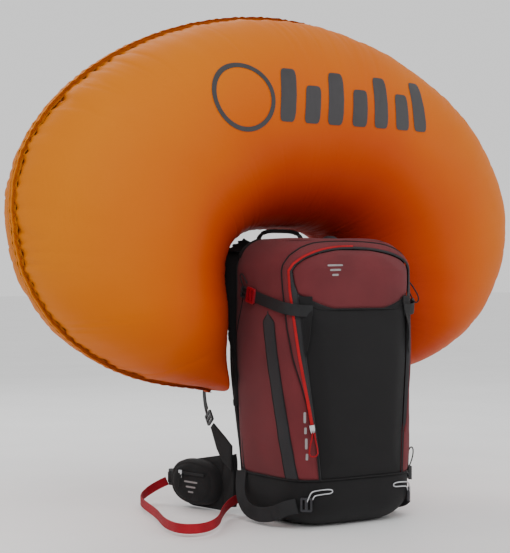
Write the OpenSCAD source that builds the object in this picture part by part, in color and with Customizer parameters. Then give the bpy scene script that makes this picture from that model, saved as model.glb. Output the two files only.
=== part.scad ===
// Ski-touring backpack with an inflated avalanche airbag.
// Millimetres. X runs across the pack, -Y is its front pocket, +Y is the wearer's side.
// The origin is the centre of the base, and Z = 0 is the floor it stands on.

/* [Bag] */
// Height of the bag's top above the floor
bag_h = 535; // [500:5:580]
// Width of the bag at its shoulders
bag_w = 306; // [290:2:320]
// Width of the bag just above the floor
base_w = 272; // [264:2:290]
// Rear face of the main compartment
rear_y = 105; // [100:1:112]
// Front face at the floor
front_low_y = -138; // [-142:1:-130]
// Front face at the top
front_high_y = -118; // [-122:1:-114]
// Radius of the bag's shoulders
crown_r = 60; // [50:2:70]
// Radius of the bag's lower edge
foot_r = 58; // [40:2:64]
// Height of the reinforced boot
boot_h = 76; // [70:2:90]
// Plane between the main compartment and the front pocket
divider_y = -90; // [-94:1:-84]
// Height of the seam between the front panel and the dome above it
dome_z = 396; // [380:2:410]
// Thickness of the bag's walls, foam included
wall = 2.4; // [2:0.2:3]

/* [Back and straps] */
// Thickness of the back panel's foam
back_t = 18; // [14:1:20]
// Width of the back panel
back_w = 276; // [260:2:280]
// Width of a shoulder strap's pad
pad_w = 62; // [54:2:68]
// Thickness of a shoulder strap's pad
pad_t = 13; // [10:1:16]
// Length of a hip wing
wing_l = 154; // [150:2:164]
// Height of a hip wing at its root
wing_h = 110; // [100:2:112]
// Width of the red leg strap
leg_strap_w = 18; // [15:1:22]

/* [Balloon] */
// Half of the balloon's width
balloon_half_w = 578; // [540:2:600]
// Top of the balloon
balloon_top_z = 985; // [940:5:1010]
// Height at which the balloon is widest
balloon_mid_z = 605; // [590:5:620]
// Lowest line of its two lobes
balloon_low_z = 228; // [215:1:240]
// Half of its thickness, front to back
balloon_half_t = 184; // [170:2:190]
// Plane of its perimeter seam
balloon_y = 156; // [152:1:170]
// Half of the width of the space between its lobes
notch_half_w = 152; // [150:1:156]
// Top of that space
notch_top_z = 560; // [556:1:566]
// Thickness of the balloon's panels
balloon_wall = 1.2; // [1:0.1:1.6]

/* [Airbag system] */
// Bore of the blower housing
blower_bore_r = 31; // [30:0.5:32]
// Centre of the blower, to the right of the middle
blower_x = 58; // [54:1:60]
// Centre of the blower behind the middle
blower_y = 60; // [58:1:62]
// Bore of the outlet duct
duct_bore_r = 17; // [16:0.5:18]
// Travel of the trigger handle, which is also the depth of its socket
trigger_travel = 26; // [20:1:30]

/* [Hidden] */
// clearance between neighbouring solids
gap = 0.5;
// exponent of the bag's rounded-rectangle section
section_n = 4.4;
// steps of a rounded edge
arc_steps = 5;
maroon = "#6d2f33";
black = "#1d1c1d";
dark_grey = "#3a3a3c";
orange = "#e07b12";
red = "#c3162c";
silver = "#b9bcc0";

// ---- points and closed surfaces ----
function mix(a, b, t) = a + (b - a) * t;
function unit(v) = v / norm(v);
function flat(list) = [for (row = list) each row];
function power_of(c) = sign(c) * pow(abs(c), 2 / section_n);

// closed solid between two equal grids of points, open at all four edges
module shell_patch(outer, inner) {
    rows = len(outer);
    cols = len(outer[0]);
    n = rows * cols;
    skin = [for (i = [0:rows - 2]) for (j = [0:cols - 2]) let (k = i * cols + j)
        each [[k, k + 1, k + cols + 1], [k, k + cols + 1, k + cols]]];
    back = [for (f = skin) [n + f[0], n + f[2], n + f[1]]];
    foot = [for (j = [0:cols - 2]) each [[j, n + j, n + j + 1], [j, n + j + 1, j + 1]]];
    top = [for (j = [0:cols - 2]) let (k = n - cols + j)
        each [[k, k + 1, n + k + 1], [k, n + k + 1, n + k]]];
    left = [for (i = [0:rows - 2]) let (k = i * cols)
        each [[k, k + cols, n + k + cols], [k, n + k + cols, n + k]]];
    right = [for (i = [0:rows - 2]) let (k = i * cols + cols - 1)
        each [[k, n + k, n + k + cols], [k, n + k + cols, k + cols]]];
    polyhedron(concat(flat(outer), flat(inner)), concat(skin, back, foot, top, left, right));
}

// bowl between two stacks of closed rings, whose last rings are filled
module shell_bowl(outer, inner) {
    rows = len(outer);
    cols = len(outer[0]);
    n = rows * cols;
    skin = [for (i = [0:rows - 2]) for (j = [0:cols - 1]) let (k = i * cols, m = (j + 1) % cols)
        each [[k + j, k + m, k + cols + m], [k + j, k + cols + m, k + cols + j]]];
    back = [for (f = skin) [n + f[0], n + f[2], n + f[1]]];
    rim = [for (j = [0:cols - 1]) let (m = (j + 1) % cols)
        each [[j, n + j, n + m], [j, n + m, m]]];
    lid = [[for (j = [0:cols - 1]) n - cols + j]];
    inner_lid = [[for (j = [cols - 1:-1:0]) 2 * n - cols + j]];
    polyhedron(concat(flat(outer), flat(inner)), concat(skin, back, rim, lid, inner_lid));
}

// solid tube through a stack of closed rings
module solid_loft(rings) {
    rows = len(rings);
    cols = len(rings[0]);
    skin = [for (i = [0:rows - 2]) for (j = [0:cols - 1]) let (k = i * cols, m = (j + 1) % cols)
        each [[k + j, k + cols + m, k + m], [k + j, k + cols + j, k + cols + m]]];
    foot = [[for (j = [0:cols - 1]) j]];
    top = [[for (j = [cols - 1:-1:0]) (rows - 1) * cols + j]];
    polyhedron(flat(rings), concat(skin, foot, top));
}

// direction of a route at its point i
function heading(route, i) =
    unit(route[min(i + 1, len(route) - 1)] - route[max(i - 1, 0)]);

// strap of constant width and thickness along a route; the width follows `across`
module ribbon(route, width, thick, across) {
    solid_loft([for (i = [0:len(route) - 1])
        let (t = heading(route, i), n = unit(cross(t, across)), w = cross(n, t))
        [for (s = [[-1, -1], [1, -1], [1, 1], [-1, 1]])
            route[i] + w * s[0] * width / 2 + n * s[1] * thick / 2]]);
}

// strap along a route that shows its face in the direction given for each point
module faced_ribbon(route, facing, width, thick) {
    solid_loft([for (i = [0:len(route) - 1])
        let (t = heading(route, i), w = unit(cross(facing[i], t)), n = cross(t, w))
        [for (s = [[-1, -1], [1, -1], [1, 1], [-1, 1]])
            route[i] + w * s[0] * width / 2 + n * s[1] * thick / 2]]);
}

// tube with an oval section along a route, 8 sides
module oval_tube(route, width, thick, across) {
    solid_loft([for (i = [0:len(route) - 1])
        let (t = heading(route, i), n = unit(cross(t, across)), w = cross(n, t))
        [for (a = [0:45:315])
            route[i] + w * cos(a) * width / 2 + n * sin(a) * thick / 2]]);
}

// puts a child that lies along +Z onto the line from one point to another
module along(from, to) {
    v = to - from;
    translate(from)
        rotate([0, acos(v[2] / norm(v)), atan2(v[1], v[0])]) children();
}

module rounded_plate(w, h, t, r) {
    linear_extrude(t) hull() for (x = [-1, 1]) for (y = [-1, 1])
        translate([x * (w / 2 - r), y * (h / 2 - r)]) circle(r, $fn = 32);
}

module mirrored(side) {
    if (side > 0) mirror([1, 0, 0]) children();
    else children();
}

// ---- the bag's surface ----
function half_w(z) = mix(base_w, bag_w, min(1, z / (0.6 * bag_h))) / 2;
function front_y(z) = mix(front_low_y, front_high_y, z / bag_h);

// point of the bag's section at angle a, at height z, drawn in by the edge's
// rounding (less so at the rear) and offset outwards by d
function section_point(a, z, inset, d) =
    let (f = front_y(z) + inset - d, r = rear_y - rear_round * inset + d)
    [(half_w(z) - inset + d) * power_of(cos(a)),
     (f + r) / 2 + (r - f) / 2 * power_of(sin(a)), z];

// [height, inset, offset] rows of the crown and the foot, offset outwards by d
function crown_row(t, d) = [crown_z + (crown_r + d) * sin(t), crown_r * (1 - cos(t)), d * cos(t)];
function foot_row(t, d) = [foot_r - (foot_r + d) * sin(t), foot_r * (1 - cos(t)), d * cos(t)];
function rows_between(low, high, n, d) = [for (i = [0:n]) [mix(low, high, i / n), 0, d]];
function crown_rows(t0, t1, d) = [for (i = [0:arc_steps]) crown_row(mix(t0, t1, i / arc_steps), d)];
function foot_rows(d) = [for (i = [0:arc_steps]) foot_row(90 * i / arc_steps, d)];

// grid of section points, kept behind or ahead of two planes
function bag_grid(rows, angles, y_min = -1000, y_max = 1000) =
    [for (r = rows) [for (a = angles)
        let (p = section_point(a, r[0], r[1], r[2])) [p[0], min(max(p[1], y_min), y_max), p[2]]]];

// x of the bag's side at a given y, on a section grown outwards by d
function side_x(y, z, d) =
    let (f = front_y(z) - d, r = rear_y + d, k = abs((y - (f + r) / 2) / ((r - f) / 2)))
    (half_w(z) + d) * pow(max(0, 1 - pow(k, section_n)), 1 / section_n);

crown_z = bag_h - crown_r;
// how much of the edge's rounding the rear face takes
rear_round = 0.35;
ring_angles = [for (i = [0:39]) i * 9];
side_angles = [112, 120, 129, 138, 147, 156, 165, 173, 180, 188, 196, 204, 212];
front_angles = [for (i = [0:16]) mix(208, 332, i / 16)];

module base_boot() {
    color(black) shell_bowl(
        bag_grid(concat([[boot_h, 0, 0]], foot_rows(0)), ring_angles),
        bag_grid(concat([[boot_h, 0, -wall]], foot_rows(-wall)), ring_angles));
}

module side_panel(side) {
    mirrored(side) color(maroon) shell_patch(
        bag_grid(rows_between(crown_z - gap, boot_h + gap, 7, 0), side_angles, divider_y),
        bag_grid(rows_between(crown_z - gap, boot_h + gap, 7, -wall), side_angles, divider_y + wall));
}

module side_panel_left() { side_panel(-1); }
module side_panel_right() { side_panel(1); }

duct_low = [blower_x, blower_y, crown_z - 18];
duct_high = [104, 106, bag_h + 1];
duct_wall = 2;
cable_x = -60;
cable_z = bag_h - 26;

// room that the duct and the trigger cable take through the bag's fabric
module duct_space() {
    along(duct_low, duct_high) cylinder(200, r = duct_bore_r + duct_wall + 1, $fn = 48);
}
module cable_space() {
    hull() for (drop = [0, 5])
        translate([cable_x, rear_y - 20, cable_z - drop]) rotate([-90, 0, 0]) cylinder(40, r = 4, $fn = 24);
}

module top_panel() {
    color(maroon) difference() {
        shell_bowl(
            bag_grid(crown_rows(0, 90, 0), [for (a = ring_angles) -a], divider_y),
            bag_grid(crown_rows(0, 90, -wall), [for (a = ring_angles) -a], divider_y + wall));
        duct_space();
        cable_space();
    }
}

// angle at which the crown meets the divider plane
dome_end = acos(1 - (divider_y - 2 - front_high_y) / crown_r);

module pocket_dome() {
    rows = [for (d = [0, -wall])
        concat(rows_between(dome_z + gap, crown_z - 10, 2, d), crown_rows(0, dome_end, d))];
    color(maroon) shell_patch(
        bag_grid(rows[0], [for (a = front_angles) 540 - a], -1000, divider_y - 2),
        bag_grid(rows[1], [for (a = front_angles) 540 - a], -1000, divider_y - 2 - wall));
}

module pocket_front() {
    color(black) shell_patch(
        bag_grid(rows_between(dome_z, boot_h + gap, 6, 0), front_angles, -1000, divider_y - 2),
        bag_grid(rows_between(dome_z, boot_h + gap, 6, -wall), front_angles, -1000, divider_y - 2 - wall));
}

module divider_panel() {
    low = 230;
    high = 250;
    color(dark_grey) translate([0, divider_y, 0]) rotate([90, 0, 0]) linear_extrude(1.5)
        polygon([[-low / 2, boot_h + 1], [low / 2, boot_h + 1],
            [high / 2, crown_z - 1], [-high / 2, crown_z - 1]]);
}

// ---- back panel, frame and padding ----
back_low = 40;
back_high = bag_h - 38;
back_y = rear_y + 1;

back_low_w = 220;
back_corner = 34;

module back_panel() {
    low_x = back_low_w / 2 - back_corner;
    high_x = back_w / 2 - back_corner;
    color(dark_grey) translate([0, back_y + back_t, 0]) rotate([90, 0, 0]) linear_extrude(back_t) hull()
        for (s = [-1, 1]) {
            translate([s * low_x, back_low + back_corner]) circle(back_corner, $fn = 32);
            translate([s * high_x, 0.5 * bag_h]) circle(back_corner, $fn = 32);
            translate([s * high_x, back_high - back_corner]) circle(back_corner, $fn = 32);
        }
}

// bent aluminium rod inside the rear wall
module frame_wire() {
    r = 2.5;
    bend = 30;
    x = 96;
    y = rear_y - 12;
    low = 80;
    high = 440;
    color(silver) translate([0, y, 0]) {
        for (s = [-1, 1]) {
            translate([s * x, 0, low]) cylinder(high - low, r = r, $fn = 24);
            translate([s * (x - bend), 0, high]) rotate([90, 0, 0])
                rotate_extrude(angle = s > 0 ? 90 : -90, start = s > 0 ? 0 : 180)
                    translate([bend, 0]) circle(r, $fn = 24);
        }
        translate([bend - x, 0, high + bend]) rotate([0, 90, 0]) cylinder(2 * (x - bend), r = r, $fn = 24);
    }
}

module lumbar_pad() {
    color(black) translate([0, back_y + back_t + gap + 16, 100]) rotate([90, 0, 0])
        rounded_plate(180, 110, 16, 30);
}

module yoke() {
    angles = [for (i = [0:14]) mix(160, 20, i / 14)];
    low_t = asin((back_high + 3 - crown_z) / crown_r);
    color(black) difference() {
        shell_patch(bag_grid(crown_rows(low_t, 84, 5), angles), bag_grid(crown_rows(low_t, 84, gap), angles));
        duct_space();
        cable_space();
    }
}

// ---- the balloon: a horseshoe-shaped tube round the space between its lobes ----
notch_above_hub = 114;
hub_z = notch_top_z - notch_above_hub;
lobe_reach = 143;
balloon_rows = 44;
balloon_cols = 11;

// balloon outline: distance from the hub to the perimeter in direction psi, by bisection
function outline_value(r, psi) =
    let (z = hub_z + r * cos(psi) - balloon_mid_z,
         half = z > 0 ? balloon_top_z - balloon_mid_z : balloon_mid_z - balloon_low_z,
         n = z > 0 ? 1.87 : 2.35)
    pow(abs(r * sin(psi)) / balloon_half_w, n) + pow(abs(z) / half, n);
function outer_r(psi, low = 0, high = 900, k = 20) =
    k == 0 ? low
    : let (m = (low + high) / 2)
      outline_value(m, psi) < 1 ? outer_r(psi, m, high, k - 1) : outer_r(psi, low, m, k - 1);

// distance from the hub to the notch
function inner_r(psi) =
    let (x = abs(sin(psi)), z = cos(psi))
    z > 0 ? pow(pow(x / notch_half_w, 3) + pow(z / (notch_top_z - hub_z), 3), -1 / 3)
    : notch_half_w / x;

// share of the tube's thickness left where the lobes hang beside the bag
function slimness(psi) =
    let (t = min(1, max(0, (abs(psi) - 95) / 38)))
    1 - 0.35 * t * t * (3 - 2 * t);

// how full the tube is, from 1 along its length to almost 0 at the tips of the lobes
function fullness(psi) =
    let (t = max(0, abs(psi) / lobe_reach - 0.75) / 0.25)
    max(0.004, pow(max(0, 1 - pow(t, 2.3)), 1 / 2.3));

// point of the balloon's skin; phi runs from 0 at the outer seam to 180 at the notch seam
function balloon_point(psi, phi, side, d) =
    let (ro = outer_r(psi), ri = min(inner_r(psi), 0.95 * ro), f = fullness(psi),
         half = (ro - ri) / 2 * f, thick = balloon_half_t * slimness(psi) * sqrt(f),
         k = 1 - d / max(half, 2 * d + 0.01), r = (ro + ri) / 2 + half * k * cos(phi))
    [sin(psi) * r, balloon_y + side * (0.2 + thick * k * sin(phi)), hub_z + cos(psi) * r];

function balloon_grid(side, d) =
    [for (i = [0:balloon_rows]) [for (j = [0:balloon_cols])
        balloon_point(mix(-lobe_reach, lobe_reach, i / balloon_rows),
            side > 0 ? 180 * j / balloon_cols : 180 - 180 * j / balloon_cols, side, d)]];

module balloon_front() {
    color(orange) shell_patch(balloon_grid(-1, 0), balloon_grid(-1, balloon_wall));
}

module balloon_rear() {
    color(orange) shell_patch(balloon_grid(1, 0), balloon_grid(1, balloon_wall));
}

// webbing tab that ties the balloon's notch seam to the yoke
module anchor_tab(side) {
    x = 122;
    z = bag_h - 21;
    mirrored(side) color(black)
        ribbon([[-x, 98, z], [-x - 2, 120, z], [-x - 5, 146, z]], 20, 3, [0, 0, 1]);
}

module anchor_tab_left() { anchor_tab(-1); }
module anchor_tab_right() { anchor_tab(1); }

// ---- front zip ----
zip_r = 1.8;
// the straight stretch is a chord outside the corner's bulge, so its ends stand off
zip_off = 6.4;
zip_low = section_point(239.5, 178, 0, zip_off);
zip_high = section_point(215.3, 440, 0, zip_off);
zip_over = 47;

// the zip's upper stretch climbs the bag's left corner and ends at the top of the dome
zip_arch = [for (i = [1:12]) let (t = i / 12, r = crown_row(zip_over * t, zip_r + 1.5))
    section_point(mix(214, 270, pow(t, 1.5)), r[0], r[1], r[2])];

module zip_track() {
    color(red) {
        oval_tube(concat([zip_high], zip_arch), 2 * zip_r, 2 * zip_r, [0, 1, 0]);
        along(zip_low, zip_high) cylinder(zip_straight, r = zip_r, $fn = 24);
    }
}

zip_straight = norm(zip_high - zip_low) - 1;
slider_at = 8;

// slider that runs on the left stretch of the zip
module front_slider() {
    color(silver) along(zip_low, zip_high) translate([0, 0, slider_at]) difference() {
        hull() {
            translate([-4.5, -3.2, -1]) cube([9, 7.7, 8]);
            translate([-3.5, -3.2, -8]) cube([7, 6.7, 8]);
        }
        cylinder(30, r = zip_r + 0.2, center = true, $fn = 24);
    }
}

// where the puller hangs, in front of the slider
puller_off = [-3.4, -7.6, -4];

// cord loop that hangs from the slider
module front_puller() {
    r = 1.5;
    // half of the loop, as [distance from its middle, distance down]
    half = [[1.8, 2], [3, 12], [7, 30], [8, 40], [5, 45], [0, 46]];
    loop = concat([for (p = half) [-p[0], p[1]]], [for (i = [len(half) - 2:-1:0]) half[i]]);
    at = mix(zip_low, zip_high, slider_at / zip_straight);
    route = [for (p = loop) at + puller_off + [0.92, -0.39, 0] * p[0] + [0, 0, -p[1]]];
    color(red) oval_tube(route, 2 * r, 2 * r, [0.39, 0.92, 0]);
}

// ---- side straps and bands ----
band_w = 30;
band_top = 398;
function band_y(z) = -34 - (band_top - z) * 0.125;

module side_bands() {
    color(dark_grey) for (s = [-1, 1]) mirrored(s) {
        grid = [for (d = [2.2, 1]) [for (i = [0:6]) let (z = mix(band_top, boot_h + 2, i / 6), y = band_y(z))
            [for (x = [y, y - band_w / 2, y - band_w]) [-side_x(x, z, d), x, z]]]];
        shell_patch(grid[0], grid[1]);
    }
}

strap_w = 22;
strap_slope = 0.226;
// [y, how far the strap stands off the bag]: it passes over the zip at the corner
strap_route = [[34, 5.6], [20, 5.6], [5, 5.6], [-15, 5.6], [-35, 5.6], [-55, 5.6], [-72, 6.4],
    [-86, 8.4], [-97, 9.4], [-106, 9.4], [-113, 9], [-119, 7.5], [-123, 5.5]];
function side_strap_z(y) = 436 + (y - 32) * strap_slope;

module side_strap(side) {
    route = [for (p = strap_route) let (z = side_strap_z(p[0])) [-side_x(p[0], z, p[1]), p[0], z]];
    mirrored(side) color(black) ribbon(route, strap_w, 1.6, [0, 0, 1]);
}

module side_strap_left() { side_strap(-1); }
module side_strap_right() { side_strap(1); }

buckle_y = 2;
buckle_t = 4;
buckle_x = 163.9;

// ladder lock that stands on the side strap
module side_buckle(side) {
    mirrored(side) color(red)
        translate([-buckle_x, buckle_y, side_strap_z(buckle_y)])
            rotate([atan(strap_slope), 0, 0]) rotate([0, 90, 0])
            difference() {
                rounded_plate(strap_w + 8, 26, buckle_t, 4);
                for (y = [-6, 5])
                    translate([0, y, -1]) linear_extrude(buckle_t + 2) square([strap_w, 4.6], center = true);
            }
}

module side_buckle_left() { side_buckle(-1); }
module side_buckle_right() { side_buckle(1); }

// wide webbing loop round the lower corner, for the tail of a ski
module ski_loop(side) {
    route = [[-144, 60, 92], [-149, 56, 68], [-155, 44, 44], [-158, 22, 26], [-158, -8, 19],
        [-158, -40, 21], [-155, -70, 28], [-148, -92, 38], [-134, -109, 44]];
    side_face = [-1, 0, 0];
    facing = concat([for (i = [0:6]) side_face], [[-0.86, -0.5, 0], [-0.7, -0.7, 0]]);
    mirrored(side) color(black) faced_ribbon(route, facing, 28, 2);
}

module ski_loop_left() { ski_loop(-1); }
module ski_loop_right() { ski_loop(1); }

hook_x = 120;
hook_y = -120.4;
hook_z = 47;

// ladder lock on the boot's corner, at the front end of the ski loop
module ski_hook(side) {
    mirrored(side) color(silver) translate([-hook_x, hook_y, hook_z]) rotate([90, 0, -45]) difference() {
        rounded_plate(22, 26, 4, 3);
        for (x = [-5, 5]) translate([x, 0, -1]) linear_extrude(6) square([4.5, 18], center = true);
    }
}

module ski_hook_left() { ski_hook(-1); }
module ski_hook_right() { ski_hook(1); }

// ---- shoulder straps ----
pad_route = [[-66, 127.5, 506], [-67, 146, 504], [-71, 178, 490], [-78, 208, 458], [-86, 227, 414],
    [-93, 238, 370], [-101, 243, 330], [-108, 244, 296], [-113, 242, 268]];

module shoulder_strap(side) {
    mirrored(side) color(black) ribbon(pad_route, pad_w, pad_t, [1, 0, 0]);
}

module shoulder_strap_left() { shoulder_strap(-1); }
module shoulder_strap_right() { shoulder_strap(1); }

webbing_route = [[-114, 240, 259], [-126, 226, 232], [-135, 208, 210], [-140, 193, 195]];
adjuster_from = [-140.5, 190, 192];
adjuster_to = [-142, 173, 171];

module lower_webbing(side) {
    mirrored(side) color(black) ribbon(webbing_route, 20, 1.8, [1, 0, 0]);
}

module lower_webbing_left() { lower_webbing(-1); }
module lower_webbing_right() { lower_webbing(1); }

module strap_adjuster(side) {
    mirrored(side) color(black) along(adjuster_from, adjuster_to) translate([0, -2, 12]) rotate([90, 0, 0])
        translate([0, 0, -4]) difference() {
            rounded_plate(26, 24, 4, 3);
            for (y = [-5, 5]) translate([0, y, -1]) linear_extrude(6) square([20, 4.5], center = true);
        }
}

module strap_adjuster_left() { strap_adjuster(-1); }
module strap_adjuster_right() { strap_adjuster(1); }

// triangular web that ties the shoulder strap to the hip belt
module hip_stabiliser(side) {
    t = 4;
    mirrored(side) color(black) translate([-142, 0, 0]) rotate([90, 0, 90]) linear_extrude(t)
        polygon([[128, 115], [140, 115], [158, 130], [170, 160], [162, 165], [128, 142]]);
}

module hip_stabiliser_left() { hip_stabiliser(-1); }
module hip_stabiliser_right() { hip_stabiliser(1); }

// sternum strap half: a clip on the pad's edge, webbing and a buckle end
sternum_at = pad_route[4];
// lean of the pad where the sternum strap sits
sternum_lean = 18;
module sternum(side) {
    mirrored(side) color(black) translate(sternum_at) rotate([sternum_lean, 0, 0]) {
        translate([6, pad_t / 2 + 2, -9]) cube([24, 4, 18]);
        translate([29, pad_t / 2 + 2.8, -7]) cube([24, 2.4, 14]);
    }
}

module sternum_left() { sternum(-1); }
module sternum_right() { sternum(1); }

// ---- trigger on the left shoulder strap ----
trigger_at = [-92, 258, 372];
module trigger_socket() {
    color(dark_grey) translate(trigger_at) difference() {
        cylinder(trigger_travel, r = 11, $fn = 48);
        translate([0, 0, -1]) cylinder(trigger_travel + 2, r = 6.4, $fn = 48);
    }
}

module trigger_handle() {
    color(red) translate(trigger_at) {
        translate([0, 0, -1]) cylinder(24, r = 6, $fn = 48);
        translate([0, 0, -15]) rotate([0, 90, 0]) translate([0, 0, -30]) cylinder(60, r = 8, $fn = 48);
        translate([0, 0, -9]) cylinder(9, r = 6, $fn = 48);
    }
}

// ---- haul handle ----
handle_half = 54;
handle_rise = 40;
handle_x = -12;
handle_y = 120;
handle_z = bag_h - 16;

module haul_handle() {
    n = 5;
    route = [for (i = [0:12]) let (a = 180 - 15 * i)
        [handle_x + handle_half * power_of(cos(a)), handle_y, handle_z + handle_rise * pow(sin(a), 2 / n)]];
    color(black) oval_tube(route, 14, 5, [0, 1, 0]);
}

// ---- hip belt ----
wing_root_x = 128;
wing_root_y = 113;
wing_t = 12;
wing_yaw = 10;
wing_start = 20;

// the wing's own plane: +Y runs to its tip, X is across its foam
module on_wing(side) {
    mirrored(side) translate([-wing_root_x, wing_root_y, 0]) rotate([0, 0, wing_yaw]) children();
}

module wing_outline() {
    hull() {
        translate([12, 15]) circle(12, $fn = 48);
        translate([12, wing_h - 12]) circle(12, $fn = 48);
        translate([wing_l - 58, 43]) circle(40, $fn = 64);
        translate([wing_l - 44, 62]) circle(30, $fn = 64);
        translate([wing_l - 18, 52]) circle(18, $fn = 48);
    }
}

module hip_wing(side) {
    on_wing(side) translate([-wing_t / 2, wing_start, 0]) rotate([90, 0, 90]) color(black)
        linear_extrude(wing_t) wing_outline();
}

module hip_wing_left() { hip_wing(-1); }
module hip_wing_right() { hip_wing(1); }

pocket_t = 22;
module hip_pocket() {
    rows = [[0, 1], [0.45, 1], [0.75, 0.93], [0.93, 0.8], [1, 0.66]];
    c = [80, 52];
    half = [62, 41];
    rings = [for (r = rows) [for (i = [0:35])
        let (a = i * 10, e = 2 / 2.6, x = c[0] + half[0] * r[1] * sign(cos(a)) * pow(abs(cos(a)), e),
             z = c[1] + half[1] * r[1] * sign(sin(a)) * pow(abs(sin(a)), e))
        [-wing_t / 2 - gap - pocket_t * r[0], x + wing_start, z]]];
    inner = [for (r = rows) [for (i = [0:35])
        let (a = i * 10, e = 2 / 2.6, x = c[0] + (half[0] * r[1] - 2) * sign(cos(a)) * pow(abs(cos(a)), e),
             z = c[1] + (half[1] * r[1] - 2) * sign(sin(a)) * pow(abs(sin(a)), e))
        [-wing_t / 2 - gap - (pocket_t - 2) * r[0], x + wing_start, z]]];
    on_wing(-1) color(black) shell_bowl(
        [for (r = rings) [for (i = [0:35]) r[35 - i]]],
        [for (r = inner) [for (i = [0:35]) r[35 - i]]]);
}

// zip slider on the pocket's face, near its upper edge
module pocket_slider() {
    on_wing(-1) color(silver) translate([-wing_t / 2 - gap - pocket_t - 4.4, 118, 70]) {
        cube([3.4, 10, 6]);
        translate([0.6, 1.5, -9]) cube([2, 4, 9.1]);
    }
}

tip_y = wing_start + wing_l;

module hip_buckle_male() {
    on_wing(-1) color(black) translate([-4, tip_y + 1 + 9, 53]) rotate([0, 90, 0]) difference() {
        rounded_plate(34, 18, 8, 3);
        translate([0, 3, -1]) linear_extrude(10) square([24, 5], center = true);
    }
}

module hip_buckle_female() {
    on_wing(1) color(black) translate([-4, tip_y + 1 + 16, 53]) rotate([0, 90, 0]) difference() {
        rounded_plate(36, 32, 9, 3);
        translate([-11, 4, 2]) cube([22, 30, 5]);
    }
}

// leg strap: from the wing's tip buckle out over the floor and back to the base
leg_route = [[-166.5, 306, 44], [-178, 310, 39], [-193, 313, 32], [-210, 312, 24], [-228, 300, 18],
    [-244, 278, 15], [-258, 248, 15], [-270, 214, 15], [-282, 176, 15], [-294, 138, 15],
    [-308, 98, 15], [-324, 58, 15], [-338, 20, 15], [-346, -16, 15], [-346, -44, 15],
    [-334, -62, 15], [-312, -66, 15], [-286, -54, 15], [-258, -30, 15], [-232, 0, 15],
    [-208, 32, 16], [-184, 60, 19], [-160, 80, 25], [-134, 92, 31], [-112, 96, 32]];

module leg_strap() {
    color(red) oval_tube(leg_route, leg_strap_w, 3, [0, 0, 1]);
}

// ---- airbag system inside the main compartment ----
blower_low = 392;
blower_high = crown_z - 20;
blower_wall = 3;

module at_blower() {
    translate([blower_x, blower_y, 0]) children();
}

module blower_housing() {
    color(dark_grey) at_blower() difference() {
        translate([0, 0, blower_low])
            cylinder(blower_high - blower_low, r = blower_bore_r + blower_wall, $fn = 96);
        translate([0, 0, blower_low - 1]) cylinder(blower_high - blower_low + 2, r = blower_bore_r, $fn = 96);
    }
}

module inlet_grille() {
    slots = 6;
    color(black) at_blower() translate([0, 0, blower_low - 3.5]) difference() {
        cylinder(3, r = blower_bore_r + blower_wall, $fn = 96);
        for (i = [0:slots - 1]) rotate([0, 0, i * 360 / slots]) translate([11, -3.5, -1]) cube([16, 7, 5]);
    }
}

motor_r = 12;
motor_low = blower_low + 4;
shaft_r = 1.5;
module blower_motor() {
    color(silver) at_blower() {
        translate([0, 0, motor_low]) cylinder(24, r = motor_r, $fn = 64);
        translate([0, 0, motor_low + 24]) cylinder(20, r = shaft_r, $fn = 32);
        for (a = [45:90:315]) rotate([0, 0, a]) translate([motor_r - 1, -1, motor_low + 4])
            cube([blower_bore_r - motor_r + 0.6, 2, 16]);
    }
}

module impeller() {
    blades = 7;
    hub_r = 9;
    hub_low = motor_low + 27;
    color(black) at_blower() difference() {
        union() {
            translate([0, 0, hub_low]) cylinder(16, r = hub_r, $fn = 64);
            for (i = [0:blades - 1]) rotate([0, 0, i * 360 / blades]) translate([hub_r - 1, 0, hub_low + 8])
                rotate([35, 0, 0]) translate([0, -1, -7]) cube([blower_bore_r - hub_r - 1.5, 2, 14]);
        }
        translate([0, 0, hub_low - 1]) cylinder(18, r = shaft_r + 0.05, $fn = 32);
    }
}

duct_length = norm(duct_high - duct_low);
module outlet_duct() {
    color(dark_grey) along(duct_low, duct_high) difference() {
        cylinder(duct_length, r = duct_bore_r + duct_wall, $fn = 64);
        translate([0, 0, -1]) cylinder(duct_length + 2, r = duct_bore_r, $fn = 64);
    }
}

// flap that lets air into the balloon and not back
valve_r = 15.5;
valve_at = 50;
module check_valve() {
    color(orange) along(duct_low, duct_high) translate([0, 0, valve_at]) cylinder(1.2, r = valve_r, $fn = 48);
}

module supercapacitors() {
    color("#2b3e66") for (x = [-22, 14]) translate([x - 56, blower_y, 330]) cylinder(58, r = 17.5, $fn = 64);
}

case_x = -94;
case_w = 96;
case_y = 40;
case_d = 46;
case_z = 396;
case_h = 64;
case_wall = 2;
module electronics_case() {
    color(dark_grey) translate([case_x, case_y, case_z]) difference() {
        cube([case_w, case_d, case_h]);
        translate([case_wall, case_wall, case_wall])
            cube([case_w - 2 * case_wall, case_d - 2 * case_wall, case_h - 2 * case_wall]);
        // battery hatch in the front face
        translate([8, -1, 10]) cube([56, case_wall + 2, 40]);
        // power button
        translate([80, -1, 34]) rotate([-90, 0, 0]) cylinder(case_wall + 2, r = 5.05, $fn = 48);
        // cable gland
        translate([cable_x - case_x, case_d - case_wall - 1, 48]) rotate([-90, 0, 0])
            cylinder(case_wall + 2, r = 3, $fn = 32);
    }
}

module circuit_board() {
    color("#1c6b3a") translate([case_x + 5, case_y + 34, case_z + 6]) cube([86, 1.6, 40]);
}

module batteries() {
    color(silver) for (z = [20, 38]) translate([case_x + 11, case_y + 14, case_z + z])
        rotate([0, 90, 0]) cylinder(50.5, r = 7.1, $fn = 48);
}

module battery_door() {
    color(black) translate([case_x + 8.4, case_y - 0.4, case_z + 10.4]) {
        cube([55.2, case_wall, 39.2]);
        translate([20, -1.6, 33]) cube([15, 1.7, 4]);
    }
}

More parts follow.
